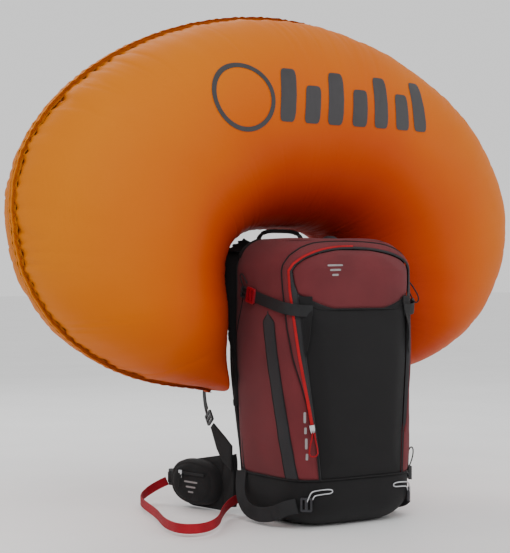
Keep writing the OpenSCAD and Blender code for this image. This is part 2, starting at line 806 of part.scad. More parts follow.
module power_button() {
    color(red) translate([case_x + 80, case_y - 2.5, case_z + 34]) rotate([-90, 0, 0]) {
        cylinder(6, r = 5, $fn = 48);
        translate([0, 0, 5]) cylinder(2, r = 6.5, $fn = 48);
    }
}

// sheathed cable from the left shoulder strap's head into the electronics case
module trigger_cable() {
    x = cable_x;
    y = case_y + case_d;
    gland_z = case_z + 48;
    // past the frame rod it runs between the rod and the bag's rear wall
    route = [[x, rear_y + 14, cable_z], [x, rear_y + 4, cable_z], [x, rear_y - 5, cable_z - 1],
        [x, rear_y - 9, cable_z - 7], [x, rear_y - 9, cable_z - 16], [x, rear_y - 6, cable_z - 28],
        [x, rear_y - 6, gland_z + 20], [x, rear_y - 8, gland_z + 10], [x, rear_y - 12, gland_z + 3],
        [x, y + 2, gland_z], [x, y - 6, gland_z]];
    color(black) oval_tube(route, 5, 5, [1, 0, 0]);
}

base_boot();
side_panel_left();
side_panel_right();
top_panel();
pocket_dome();
pocket_front();
divider_panel();
back_panel();
frame_wire();
lumbar_pad();
yoke();
balloon_front();
balloon_rear();
anchor_tab_left();
anchor_tab_right();
zip_track();
side_bands();
side_strap_left();
side_strap_right();
ski_loop_left();
ski_loop_right();
hip_stabiliser_left();
hip_stabiliser_right();
lower_webbing_left();
lower_webbing_right();
strap_adjuster_left();
strap_adjuster_right();
blower_housing();
inlet_grille();
blower_motor();
outlet_duct();
supercapacitors();
electronics_case();
circuit_board();
batteries();
trigger_cable();
leg_strap();
impeller();
check_valve();
power_button();
battery_door();
haul_handle();
shoulder_strap_left();
shoulder_strap_right();
trigger_socket();
trigger_handle();
sternum_left();
sternum_right();
hip_wing_left();
hip_wing_right();
hip_pocket();
pocket_slider();
hip_buckle_male();
hip_buckle_female();
front_slider();
front_puller();
side_buckle_left();
side_buckle_right();
ski_hook_left();
ski_hook_right();
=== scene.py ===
"""Looks for a touring backpack with an inflated avalanche balloon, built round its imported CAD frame."""
import math

import bmesh
import bpy
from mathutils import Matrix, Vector, noise
from mathutils.bvhtree import BVHTree


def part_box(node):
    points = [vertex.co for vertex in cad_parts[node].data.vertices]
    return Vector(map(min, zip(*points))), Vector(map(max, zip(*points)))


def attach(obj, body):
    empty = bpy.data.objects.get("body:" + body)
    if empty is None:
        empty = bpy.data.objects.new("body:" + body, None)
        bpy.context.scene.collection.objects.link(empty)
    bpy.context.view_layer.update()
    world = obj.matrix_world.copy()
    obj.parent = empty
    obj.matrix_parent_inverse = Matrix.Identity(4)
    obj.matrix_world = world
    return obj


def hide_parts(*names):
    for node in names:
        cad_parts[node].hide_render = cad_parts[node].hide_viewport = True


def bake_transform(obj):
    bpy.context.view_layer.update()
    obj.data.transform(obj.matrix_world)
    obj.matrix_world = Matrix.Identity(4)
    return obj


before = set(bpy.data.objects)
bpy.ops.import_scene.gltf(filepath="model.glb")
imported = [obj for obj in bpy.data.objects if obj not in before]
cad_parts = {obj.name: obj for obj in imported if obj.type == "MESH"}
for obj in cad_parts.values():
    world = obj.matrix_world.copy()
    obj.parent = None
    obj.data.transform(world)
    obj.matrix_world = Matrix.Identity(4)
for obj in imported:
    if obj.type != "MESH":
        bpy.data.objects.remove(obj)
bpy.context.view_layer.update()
MM = 0.001
SIDE_NAMES = {-1: "left", 1: "right"}


def mm(x, y, z):
    return Vector((x, y, z)) * MM


def mix(a, b, t):
    return a + (b - a) * t


def smooth(t):
    t = min(max(t, 0.0), 1.0)
    return t * t * (3 - 2 * t)


def spread(low, high, count):
    return [mix(low, high, i / (count - 1)) for i in range(count)]


def dip(value, width):
    """A soft bump of height 1 at zero."""
    return math.exp(-(value / width) ** 2)


def signed_power(value, exponent):
    """A power that keeps the sign: it turns a circle's cosine and sine into a rounded box's."""
    return math.copysign(abs(value) ** exponent, value)


def circle(count):
    """Cosine and sine at even steps round a circle."""
    turns = [2 * math.pi * k / count for k in range(count)]
    return [(math.cos(a), math.sin(a)) for a in turns]


def running_lengths(points):
    """Distance along a line of points, from its start to each of them."""
    lengths = [0.0]
    for a, b in zip(points, points[1:]):
        lengths.append(lengths[-1] + (b - a).length)
    return lengths


def mirrored(points):
    return [Vector((-p.x, p.y, p.z)) for p in points]


def grain(point, scale, seed=0.0):
    """Smooth noise from -1 to 1 at a point in metres; scale is the size of one lump in metres."""
    return noise.noise(Vector(point) / scale + Vector((seed, seed * 0.37, -seed)))


# ---- camera, floor and light ----

CAMERA_PLACE, CAMERA_TARGET = (-1.646, -2.233, 0.463), (-0.1026, 0.0757, 0.4649)
CAMERA_SENSOR, CAMERA_LENS = 36, 92.6


def add_object(name, data):
    obj = bpy.data.objects.new(name, data)
    bpy.context.scene.collection.objects.link(obj)
    return obj


def aim(obj, place, target):
    obj.location = place
    obj.rotation_euler = (Vector(target) - Vector(place)).to_track_quat("-Z", "Y").to_euler()


def make_camera():
    data = bpy.data.cameras.new("camera")
    camera = add_object("camera", data)
    aim(camera, CAMERA_PLACE, CAMERA_TARGET)
    data.sensor_width = CAMERA_SENSOR
    data.lens = CAMERA_LENS
    bpy.context.scene.camera = camera


def make_light(name, place, target, size, power):
    data = bpy.data.lights.new(name, "AREA")
    data.shape = "DISK"
    data.size = size
    data.energy = power
    aim(add_object(name, data), place, target)


def make_world(strength):
    world = bpy.data.worlds.new("studio")
    bpy.context.scene.world = world
    world.use_nodes = True
    background = world.node_tree.nodes["Background"]
    background.inputs["Color"].default_value = (1, 1, 1, 1)
    background.inputs["Strength"].default_value = strength


# ---- materials ----

class Paint:
    """A Principled material and short ways to add procedural nodes to it."""

    def __init__(self, name, rough, metallic=0.0):
        self.material = bpy.data.materials.new(name)
        self.material.use_nodes = True
        self.tree = self.material.node_tree
        self.shader = self.tree.nodes["Principled BSDF"]
        self.shader.inputs["Roughness"].default_value = rough
        self.shader.inputs["Metallic"].default_value = metallic
        self.place = self.node("ShaderNodeTexCoord").outputs["Object"]

    def node(self, kind, **settings):
        node = self.tree.nodes.new(kind)
        for key, value in settings.items():
            setattr(node, key, value)
        return node

    def link(self, a, b):
        self.tree.links.new(a, b)

    def value(self, operation, a, b=None):
        """Output of a Math node on sockets or numbers."""
        node = self.node("ShaderNodeMath", operation=operation)
        for slot, item in zip(node.inputs, (a, b)):
            if item is None:
                continue
            if isinstance(item, (int, float)):
                slot.default_value = item
            else:
                self.link(item, slot)
        return node.outputs[0]

    def noise(self, scale, detail=3.0):
        node = self.node("ShaderNodeTexNoise")
        node.inputs["Scale"].default_value = scale
        node.inputs["Detail"].default_value = detail
        self.link(self.place, node.inputs["Vector"])
        return node.outputs["Fac"]

    def along(self, direction):
        """Distance along a direction, in metres."""
        node = self.node("ShaderNodeVectorMath", operation="DOT_PRODUCT")
        self.link(self.place, node.inputs[0])
        node.inputs[1].default_value = direction
        return node.outputs["Value"]

    def weave(self, pitch):
        """Threads over and under: one thread every `pitch` metres both ways."""
        turns = 2 * math.pi / pitch
        across = self.value("SINE", self.value("MULTIPLY", self.along((1, 0.83, 0)), turns))
        upward = self.value("SINE", self.value("MULTIPLY", self.along((0.17, -0.1, 1)), turns))
        return self.value("MULTIPLY", across, upward)

    def grid_line(self, direction, pitch=0.006):
        """Raised ripstop thread, one every `pitch` metres along a direction."""
        wave = self.value("COSINE", self.value("MULTIPLY", self.along(direction), 2 * math.pi / pitch))
        return self.value("POWER", self.value("MAXIMUM", wave, 0.0), 12.0)

    def ramp(self, source, stops):
        node = self.node("ShaderNodeValToRGB")
        elements = node.color_ramp.elements
        while len(elements) < len(stops):
            elements.new(0.5)
        for element, (at, colour) in zip(elements, stops):
            element.position = at
            element.color = (*colour, 1)
        self.link(source, node.inputs["Fac"])
        return node.outputs["Color"]

    def colour(self, source):
        self.link(source, self.shader.inputs["Base Color"])

    def rough(self, source, low, high):
        node = self.node("ShaderNodeMapRange")
        node.inputs["To Min"].default_value = low
        node.inputs["To Max"].default_value = high
        self.link(source, node.inputs["Value"])
        self.link(node.outputs["Result"], self.shader.inputs["Roughness"])

    def bump(self, height, depth, strength=0.6):
        node = self.node("ShaderNodeBump")
        node.inputs["Distance"].default_value = depth
        node.inputs["Strength"].default_value = strength
        self.link(height, node.inputs["Height"])
        self.link(node.outputs["Normal"], self.shader.inputs["Normal"])


def shade(colour, factor):
    return tuple(min(1.0, c * factor) for c in colour)


def cloth(name, colour, pitch=0.0012, rough=0.85, sheen=0.05, depth=0.0003, fade=0.16):
    """Woven fabric: threads, soft blotches of colour and a little sheen."""
    paint = Paint(name, rough)
    blotch = paint.noise(14)
    weave = paint.weave(pitch)
    mixed = paint.value("ADD", paint.value("MULTIPLY", weave, 0.12), blotch)
    paint.colour(paint.ramp(mixed, [(0.25, shade(colour, 1 - fade)), (0.75, shade(colour, 1 + fade))]))
    paint.rough(blotch, rough - 0.06, rough + 0.06)
    height = paint.value("ADD", weave, paint.value("MULTIPLY", paint.noise(60), 1.5))
    paint.bump(height, depth)
    paint.shader.inputs["Sheen Weight"].default_value = sheen
    paint.shader.inputs["Sheen Roughness"].default_value = 0.5
    paint.shader.inputs["Specular IOR Level"].default_value = 0.22
    return paint.material


def mesh_foam(name, colour):
    """Spacer mesh over foam: a grid of small round holes."""
    paint = Paint(name, 0.9)
    cells = paint.node("ShaderNodeTexVoronoi")
    cells.inputs["Scale"].default_value = 330
    paint.link(paint.place, cells.inputs["Vector"])
    paint.colour(paint.ramp(cells.outputs["Distance"], [(0.15, shade(colour, 0.35)), (0.5, colour)]))
    paint.bump(cells.outputs["Distance"], 0.0008)
    paint.shader.inputs["Sheen Weight"].default_value = 0.05
    paint.shader.inputs["Specular IOR Level"].default_value = 0.2
    return paint.material


def webbing(name, colour, pitch=0.0017):
    """Flat woven tape: a herringbone of ribs with darker edges between the threads."""
    paint = Paint(name, 0.7)
    rib = paint.value("SINE", paint.value("MULTIPLY", paint.along((1, 0.8, 0.9)), 2 * math.pi / pitch))
    cross = paint.value("SINE", paint.value("MULTIPLY", paint.along((1, -0.7, -1.1)), math.pi / pitch))
    height = paint.value("ADD", rib, paint.value("MULTIPLY", cross, 0.5))
    paint.colour(paint.ramp(paint.value("ADD", paint.noise(30), paint.value("MULTIPLY", rib, 0.12)),
                            [(0.25, shade(colour, 0.78)), (0.75, shade(colour, 1.2))]))
    paint.rough(paint.noise(50), 0.6, 0.78)
    paint.bump(height, 0.0004)
    paint.shader.inputs["Specular IOR Level"].default_value = 0.25
    return paint.material


def plastic(name, colour, rough=0.42):
    """Moulded plastic: fine spark-eroded texture and small scuffs."""
    paint = Paint(name, rough)
    fine = paint.noise(700, 2)
    scuff = paint.noise(45, 6)
    paint.colour(paint.ramp(scuff, [(0.35, colour), (0.8, shade(colour, 1.5))]))
    paint.rough(scuff, rough - 0.08, rough + 0.15)
    paint.bump(fine, 0.00012)
    return paint.material


def metal(name, colour, rough=0.32):
    """Satin metal with fine draw lines and dull patches."""
    paint = Paint(name, rough, 1.0)
    lines = paint.node("ShaderNodeTexNoise")
    lines.inputs["Scale"].default_value = 1
    stretch = paint.node("ShaderNodeMapping")
    stretch.inputs["Scale"].default_value = (900, 900, 40)
    paint.link(paint.place, stretch.inputs["Vector"])
    paint.link(stretch.outputs["Vector"], lines.inputs["Vector"])
    patch = paint.noise(60)
    paint.colour(paint.ramp(patch, [(0.3, shade(colour, 0.8)), (0.7, colour)]))
    paint.rough(patch, rough - 0.06, rough + 0.14)
    paint.bump(lines.outputs["Fac"], 0.00008)
    return paint.material


def balloon_nylon(name):
    """Thin coated nylon, orange, with painted light and shade in its colour: painted deep red shade round the
    notch, painted bright light further from it.
    """
    paint = Paint(name, 0.6)
    # painted shade and light: the colour runs from deep red near a point by the notch to orange away from it,
    # its edge wobbled by noise
    centre = paint.node("ShaderNodeVectorMath", operation="DISTANCE")
    paint.link(paint.place, centre.inputs[0])
    centre.inputs[1].default_value = (0.03, 0.06, 0.44)
    ripple = paint.value("MULTIPLY", paint.value("SUBTRACT", paint.noise(5, 2), 0.5), 0.10)
    reach = paint.value("ADD", centre.outputs["Value"], ripple)
    stops = [(0.17, (0.30, 0.010, 0.0)), (0.27, (0.42, 0.040, 0.0)),
             (0.38, (0.52, 0.090, 0.0)), (0.58, (0.60, 0.165, 0.0))]
    paint.colour(paint.ramp(reach, stops))
    paint.rough(paint.noise(24), 0.52, 0.66)
    ripstop = paint.value("MAXIMUM", paint.grid_line((1, 0, 0)), paint.grid_line((0, 0, 1)))
    height = paint.value("ADD", paint.value("MULTIPLY", ripstop, 0.5), paint.noise(90, 2))
    paint.bump(height, 0.00035, 0.35)
    paint.shader.inputs["Specular IOR Level"].default_value = 0.12
    return paint.material


MAROON = cloth("maroon_nylon", (0.125, 0.020, 0.024), pitch=0.0016)
BLACK = cloth("black_packcloth", (0.008, 0.0075, 0.008), pitch=0.0014)
GREY = cloth("grey_ripstop", (0.024, 0.023, 0.025), pitch=0.002)
PIPING = cloth("grey_piping", (0.028, 0.027, 0.029), pitch=0.001)
FOAM_MESH = mesh_foam("spacer_mesh", (0.035, 0.035, 0.037))
BLACK_TAPE = webbing("black_webbing", (0.016, 0.016, 0.017))
RED_TAPE = webbing("red_webbing", (0.33, 0.004, 0.014))
RED_COIL = webbing("red_zip_coil", (0.36, 0.004, 0.008), pitch=0.0022)
RED_CORD = webbing("red_cord", (0.36, 0.004, 0.010), pitch=0.0012)
BLACK_PLASTIC = plastic("black_acetal", (0.018, 0.018, 0.019))
GREY_PLASTIC = plastic("grey_nylon", (0.055, 0.055, 0.06))
RED_PLASTIC = plastic("red_acetal", (0.20, 0.002, 0.008), 0.45)
SATIN = metal("satin_aluminium", (0.62, 0.63, 0.65))
DARK_METAL = metal("dark_aluminium", (0.06, 0.06, 0.065), 0.4)
STEEL = metal("satin_steel", (0.50, 0.51, 0.53), 0.28)
SLEEVE = plastic("capacitor_sleeve", (0.02, 0.05, 0.16), 0.25)
BOARD = plastic("circuit_board", (0.01, 0.11, 0.04), 0.35)
VALVE = plastic("valve_silicone", (0.45, 0.12, 0.02), 0.55)
PALE_PRINT = plastic("pale_print", (0.22, 0.2, 0.2), 0.5)
PRINT = plastic("dark_print", (0.020, 0.018, 0.020), 0.5)
BALLOON = balloon_nylon("balloon_nylon")


# ---- mesh makers ----

def piece(name, verts, faces, material, body="pack", slot=None, replaces=()):
    """A smooth mesh object that rides on a CAD body."""
    mesh = bpy.data.meshes.new(name)
    mesh.from_pydata([tuple(v) for v in verts], [], faces)
    mesh.validate()
    bm = bmesh.new()
    bm.from_mesh(mesh)
    bmesh.ops.remove_doubles(bm, verts=bm.verts, dist=1e-6)
    bmesh.ops.recalc_face_normals(bm, faces=bm.faces)
    for face in bm.faces:
        face.smooth = True
    bm.to_mesh(mesh)
    bm.free()
    mesh.materials.append(material)
    obj = add_object(name, mesh)
    if body:
        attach(obj, body)
    if replaces:
        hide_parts(*replaces)
    return obj


def closed_pair(outer_rows, inner_rows, closed=False):
    """Vertices and faces of the solid between two grids of the same size."""
    height, width = len(outer_rows), len(outer_rows[0])
    verts = [p for rows in (outer_rows, inner_rows) for row in rows for p in row]
    count = height * width
    faces = []
    for i in range(height - 1):
        for j in range(width if closed else width - 1):
            a, b = i * width + j, i * width + (j + 1) % width
            faces.append((a, b, b + width, a + width))
            faces.append((count + a, count + a + width, count + b + width, count + b))
    for j in range(width if closed else width - 1):
        a, b = j, (j + 1) % width
        c, d = (height - 1) * width + a, (height - 1) * width + b
        faces.append((a, count + a, count + b, b))
        faces.append((c, d, count + d, count + c))
    if not closed:
        for i in range(height - 1):
            a, c = i * width, (i + 1) * width
            b, d = a + width - 1, c + width - 1
            faces.append((a, c, count + c, count + a))
            faces.append((b, count + b, count + d, d))
    return verts, faces


def thick_grid(rows, thick, closed=False):
    """A sheet through rows of points in metres, thickened inwards."""
    normals = grid_normals(rows, closed)
    inner = [[p - n * thick for p, n in zip(row, line)] for row, line in zip(rows, normals)]
    return closed_pair(rows, inner, closed)


def grid_normals(rows, closed=False):
    """Unit normals of a grid; the order of its columns settles which side they point to."""
    height, width = len(rows), len(rows[0])
    result = []
    for i in range(height):
        line = []
        for j in range(width):
            up = rows[min(i + 1, height - 1)][j] - rows[max(i - 1, 0)][j]
            left = (j - 1) % width if closed else max(j - 1, 0)
            right = (j + 1) % width if closed else min(j + 1, width - 1)
            normal = (rows[i][right] - rows[i][left]).cross(up)
            line.append(normal.normalized() if normal.length > 1e-12 else Vector((0, 0, 1)))
        result.append(line)
    return result


def facing_out(rows, centre, closed=False):
    """The grid, flipped if its normals point towards `centre`."""
    normals = grid_normals(rows, closed)
    total = sum(n.dot(p - centre) for row, line in zip(rows, normals) for p, n in zip(row, line))
    return rows if total > 0 else [row[::-1] for row in rows]


def frames_along(route, facing):
    """Tangent, width and normal directions at each point of a route, its face turned to `facing`."""
    result = []
    last = len(route) - 1
    for i, point in enumerate(route):
        tangent = (route[min(i + 1, last)] - route[max(i - 1, 0)]).normalized()
        front = facing(point, i / last) if callable(facing) else Vector(facing)
        across = front.cross(tangent)
        if across.length < 1e-6:
            across = tangent.orthogonal()
        across.normalize()
        result.append((tangent, across, tangent.cross(across)))
    return result


def smooth_route(points, count):
    """`count` points, evenly spaced, on a Catmull-Rom curve through the given points."""
    points = [Vector(p) for p in points]
    dense = []
    for i in range(len(points) - 1):
        p0, p1 = points[max(i - 1, 0)], points[i]
        p2, p3 = points[i + 1], points[min(i + 2, len(points) - 1)]
        for k in range(16):
            t = k / 16
            dense.append(0.5 * (2 * p1 + (p2 - p0) * t + (2 * p0 - 5 * p1 + 4 * p2 - p3) * t ** 2
                                + (3 * p1 - p0 - 3 * p2 + p3) * t ** 3))
    dense.append(points[-1])
    lengths = running_lengths(dense)
    result, k = [], 0
    for target in spread(0, lengths[-1], count):
        while k < len(dense) - 2 and lengths[k + 1] < target:
            k += 1
        span = max(lengths[k + 1] - lengths[k], 1e-12)
        result.append(dense[k].lerp(dense[k + 1], (target - lengths[k]) / span))
    return result


def sweep(route, facing, outline):
    """Closed solid that carries an outline of (across, outwards) pairs along a route."""
    rings = []
    for i, (point, (_, across, normal)) in enumerate(zip(route, frames_along(route, facing))):
        shape = outline(i / (len(route) - 1)) if callable(outline) else outline
        rings.append([point + across * a + normal * b for a, b in shape])
    width = len(rings[0])
    faces = [(i * width + j, i * width + (j + 1) % width, (i + 1) * width + (j + 1) % width,
              (i + 1) * width + j) for i in range(len(rings) - 1) for j in range(width)]
    faces.append(tuple(range(width)))
    faces.append(tuple(len(rings) * width - 1 - j for j in range(width)))
    return [p for ring in rings for p in ring], faces


def tape_outline(width, thick, rib=0.12):
    """Section of flat tape: rounded edges and a slightly raised selvedge."""
    half, t = width / 2, thick / 2
    edge = [(half - t * 0.2, -t * 0.7), (half, 0), (half - t * 0.2, t * 0.7)]
    top = [(half - t, t), (half - 2.4 * t, t * (1 - rib)), (-half + 2.4 * t, t * (1 - rib)), (-half + t, t)]
    left = [(-a, -b) for a, b in edge]
    low = [(-a, -b) for a, b in top]
    return edge + top + left + low


def oval_outline(width, thick, steps=12):
    return [(width / 2 * c, thick / 2 * s) for c, s in circle(steps)]


def tape(name, points, width, thick, facing, material, count=0, **role):
    """A strap of woven tape along points in millimetres."""
    route = smooth_route([mm(*p) for p in points], count or 8 * len(points))
    return piece(name, *sweep(route, facing, tape_outline(width * MM, thick * MM)), material, **role)


def piping(name, route, facing, width, thick, material, **role):
    """An oval cord or binding along a route in metres."""
    return piece(name, *sweep(route, facing, oval_outline(width * MM, thick * MM)), material, **role)


def cord_piece(name, points, diameter, material, count, **role):
    """A round cord along points in millimetres, and the smooth route that it follows."""
    route = smooth_route([mm(*p) for p in points], count)
    outline = oval_outline(diameter * MM, diameter * MM, 10)
    return piece(name, *sweep(route, (0.31, 0.52, 0.8), outline), material, **role), route


def cut_round(obj, start, end, radius):
    """Opens a hole of that radius, in millimetres, round the line between two points."""
    start, end = mm(*start), mm(*end)
    axis = (end - start).normalized()
    bm = bmesh.new()
    bm.from_mesh(obj.data)
    inside = []
    for face in bm.faces:
        offset = face.calc_center_median() - start
        reach = offset.dot(axis)
        if 0 < reach < (end - start).length and (offset - axis * reach).length < radius * MM:
            inside.append(face)
    bmesh.ops.delete(bm, geom=inside, context="FACES")
    bm.to_mesh(obj.data)
    bm.free()


def bake_bevel(obj, width):
    modifier = obj.modifiers.new("bevel", "BEVEL")
    modifier.width = width * MM
    modifier.segments = 3
    modifier.limit_method = "ANGLE"
    graph = bpy.context.evaluated_depsgraph_get()
    mesh = bpy.data.meshes.new_from_object(obj.evaluated_get(graph))
    obj.modifiers.clear()
    obj.data = mesh


# ---- the bag's surface, in the CAD model's millimetres ----

BAG_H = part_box("top_panel")[1][2] / MM
BAG_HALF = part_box("side_panel_right")[1][0] / MM
BASE_HALF = 136
REAR_Y, FRONT_LOW, FRONT_HIGH = 105, -138, -118
CROWN_R, FOOT_R, SECTION_N, REAR_ROUND = 60, 58, 4.4, 0.35
CROWN_Z = BAG_H - CROWN_R
WALL_TALL = CROWN_Z - FOOT_R
BOOT_H = 90
BAG_MIDDLE = mm(0, -12, 270)


def section(angle, z, inset=0.0, d=0.0):
    """Point of the bag's section at an angle in degrees, drawn in by `inset` and grown by `d`."""
    c, s = math.cos(math.radians(angle)), math.sin(math.radians(angle))
    half = mix(BASE_HALF, BAG_HALF, min(1, z / (0.6 * BAG_H)))
    front = mix(FRONT_LOW, FRONT_HIGH, z / BAG_H) + inset - d
    rear = REAR_Y - REAR_ROUND * inset + d
    x = (half - inset + d) * signed_power(c, 2 / SECTION_N)
    y = (front + rear) / 2 + (rear - front) / 2 * signed_power(s, 2 / SECTION_N)
    return Vector((x, y, z))


def bag(angle, h, d=0.0):
    """Point of the bag: h runs -1 to 0 round the foot, 0 to 1 up the wall, 1 to 2 round the crown."""
    if h < 0:
        t = math.radians(-90 * h)
        z = FOOT_R - (FOOT_R + d) * math.sin(t)
        return section(angle, z, FOOT_R * (1 - math.cos(t)), d * math.cos(t))
    if h > 1:
        t = math.radians(90 * (min(h, 2) - 1))
        z = CROWN_Z + (CROWN_R + d) * math.sin(t)
        edge = section(angle, z, CROWN_R * (1 - math.cos(t)), d * math.cos(t))
        if h <= 2:
            return edge
        return edge.lerp(Vector((0, -2, edge.z)), h - 2)
    return section(angle, mix(FOOT_R, CROWN_Z, h), 0, d)


def wall_h(z):
    """The h of a height on the wall."""
    return (z - FOOT_R) / WALL_TALL


def even_angles(low, high, count):
    """Angles from low to high that are evenly spaced along the bag's section."""
    steps = 240
    dense = spread(low, high, steps)
    lengths = running_lengths([section(a, 300) for a in dense])
    result, k = [], 0
    for target in spread(0, lengths[-1], count):
        while k < steps - 2 and lengths[k + 1] < target:
            k += 1
        step = (target - lengths[k]) / max(lengths[k + 1] - lengths[k], 1e-9)
        result.append(mix(dense[k], dense[k + 1], step))
    return result


def read_curve(points, x):
    """Value at x on the straight lines between (x, value) pairs."""
    if x <= points[0][0]:
        return points[0][1]
    for (x0, y0), (x1, y1) in zip(points, points[1:]):
        if x <= x1:
            return mix(y0, y1, (x - x0) / (x1 - x0))
    return points[-1][1]


def edge_curve(wall, crown=()):
    """Where a sewn edge runs: (z, angle) pairs up the wall, then (h, angle) pairs round the crown."""
    return [(wall_h(z), angle) for z, angle in wall] + list(crown)


GUSSET_EDGE = edge_curve(
    [(80, 245), (150, 243), (168, 242.3), (190, 238.5), (222, 234.8), (262, 228), (310, 218), (370, 209.5),
     (440, 204)],
    [(1.0, 202.5), (1.12, 204.5), (1.3, 213), (1.5, 230), (1.64, 247), (1.74, 270)])
ZIP_EDGE = edge_curve(
    [(168, 242.4), (178, 239.6), (222, 236.0), (328, 226), (440, 215.3)],
    [(1.0, 214), (1.13, 221), (1.26, 233.8), (1.39, 250.4), (1.52, 270)])
DOME_EDGE = edge_curve(
    [(168, 242.5), (222, 239.5), (328, 233.6), (395, 230.5), (432, 226.5), (450, 221.5)],
    [(1.0, 218.5), (1.12, 225), (1.24, 236.5), (1.36, 252.5), (1.47, 270)])
FRONT_EDGE = edge_curve(
    [(80, 245), (150, 243), (168, 242.4), (220, 239.6), (330, 233.8), (395, 230.7), (432, 226.7)])
GUSSET_TOP, DOME_TOP = GUSSET_EDGE[-1][0], DOME_EDGE[-1][0]
CORNER_LEFT, CORNER_RIGHT = 226.7, 313.3


def seam_z(angle):
    """Height of the seam between front panel and dome: it climbs towards both front corners."""
    off = max(0.0, 1 - (min(angle, 540 - angle) - CORNER_LEFT) / 26)
    return 404 + 28 * off ** 1.4


def puffed(angle, h, edge, puff, seed):
    """Point of sewn cloth on the bag: it dips at its seams and swells and creases between them."""
    point = bag(angle, h)
    outward = (bag(angle, h, 4) - point).normalized()
    place = point * MM
    rise = puff * smooth(edge / 42) - 1.8 * math.exp(-edge / 4)
    rise += 1.5 * grain(place, 0.11, seed) * smooth(edge / 30)
    crease = grain((place.x * 0.35, place.y * 0.35, place.z), 0.026, seed + 3)
    rise += 0.9 * crease * smooth(edge / 14)
    return (point + outward * (rise + 0.6)) * MM


def edge_distance(i, j, height, width, tall, broad):
    """Distance to the nearest edge of a patch that is `tall` by `broad` millimetres."""
    return min(i / (height - 1) * tall, (1 - i / (height - 1)) * tall,
               j / (width - 1) * broad, (1 - j / (width - 1)) * broad)


# line of the blower's duct, from its foot to a point past its mouth, and the hole that the cloth has for it
DUCT_LOW, DUCT_HIGH = (58, 60, 457), (116, 118, 556.6)
DUCT_HOLE_R, COLLAR_R, COLLAR_AT = 21, 22.5, 76


def make_main_shell():
    """Both sides, the rear and the top in one piece of maroon cloth."""
    heights = spread(wall_h(BOOT_H), 1, 64) + spread(1, 2, 26)[1:] + spread(2, 2.97, 12)[1:]
    rows = []
    width = 150
    for h in heights:
        start = read_curve(GUSSET_EDGE, h)
        row = []
        for j, angle in enumerate(even_angles(start, 180 - start, width)):
            side = min(j, width - 1 - j) * 5.6
            edge = min(max(0, (h - heights[0]) * WALL_TALL), side if h < GUSSET_TOP else 60)
            row.append(puffed(angle, h, edge, 2.2, 1))
        rows.append(row)
    rows = facing_out(rows, BAG_MIDDLE)
    shell = piece("main_shell", *thick_grid(rows, 1.4 * MM), MAROON, slot="maroon_fabric",
                  replaces=("side_panel_left", "side_panel_right", "top_panel"))
    cut_round(shell, DUCT_LOW, DUCT_HIGH, DUCT_HOLE_R)
    return shell


FRONT_COLUMNS = 76
FRONT_STEPS = [(a - 235) / 70 for a in even_angles(235, 305, FRONT_COLUMNS)]


def front_angle(left, j):
    """Angle of column j when the patch spans left to 540 - left, evenly spaced along the cloth."""
    return mix(left, 540 - left, FRONT_STEPS[j])


def front_patch(name, height, levels, curve, size, puff, seed, material, **role):
    """Sewn cloth across the front: `levels` gives its h range from the seam's h, `size` its extent."""
    rows = []
    for i, v in enumerate(spread(0, 1, height)):
        row = []
        for j, u in enumerate(spread(0, 1, FRONT_COLUMNS)):
            low, high = levels(wall_h(seam_z(mix(CORNER_LEFT, CORNER_RIGHT, u))))
            h = mix(low, high, v)
            angle = front_angle(read_curve(curve, h), j)
            row.append(puffed(angle, h, edge_distance(i, j, height, FRONT_COLUMNS, *size(v)), puff, seed))
        rows.append(row)
    rows = facing_out(rows, BAG_MIDDLE)
    return piece(name, *thick_grid(rows, 1.4 * MM), material, **role)


def make_front_panel():
    return front_patch("front_panel", 58, lambda seam: (wall_h(BOOT_H), seam), FRONT_EDGE,
                       lambda v: (330, 250), 4.5, 7, BLACK, slot="black_fabric", replaces=("pocket_front",))


def make_dome():
    return front_patch("dome", 40, lambda seam: (seam, DOME_TOP), DOME_EDGE,
                       lambda v: (125, 260 * (1 - 0.7 * v)), 6.5, 13, MAROON, slot="maroon_fabric",
                       replaces=("pocket_dome",))


def make_boot():
    """Black cloth round the foot and the lowest part of the wall, closed underneath."""
    heights = spread(-0.98, 0, 18) + spread(0, wall_h(BOOT_H), 6)[1:]
    angles = even_angles(0, 358, 150)
    rows = []
    for h in heights:
        edge = max(0, heights[-1] - h) * WALL_TALL if h > 0 else 30
        rows.append([puffed(a, h, edge, 0.6, 21) for a in angles])
    rows = facing_out(rows, BAG_MIDDLE, True)
    verts, faces = thick_grid(rows, 1.8 * MM, True)
    faces.append(tuple(range(len(angles))))
    return piece("boot", verts, faces, BLACK, slot="black_fabric", replaces=("base_boot",))


def mirror_line(points):
    """A line from low left to the top centre, carried on down the right side."""
    return points + mirrored(points[-2::-1])


def edge_line(curve, count, d, low=None):
    """Points on the bag along one of the edge curves, in metres."""
    first = curve[0][0] if low is None else low
    return [bag(read_curve(curve, h), h, d) * MM for h in spread(first, curve[-1][0], count)]


def strip(name, one, other, material, puff, cols=7, **role):
    """A narrow sewn strip between two lines of points."""
    rows = []
    for a, b in zip(one, other):
        middle = (a + b) / 2
        outward = (middle - Vector((0, -0.012, min(middle.z, 0.46)))).normalized()
        rows.append([a.lerp(b, t) + outward * (4 * t * (1 - t) * puff * MM) for t in spread(0, 1, cols)])
    rows = facing_out(rows, BAG_MIDDLE)
    return piece(name, *thick_grid(rows, 1.2 * MM), material, **role)


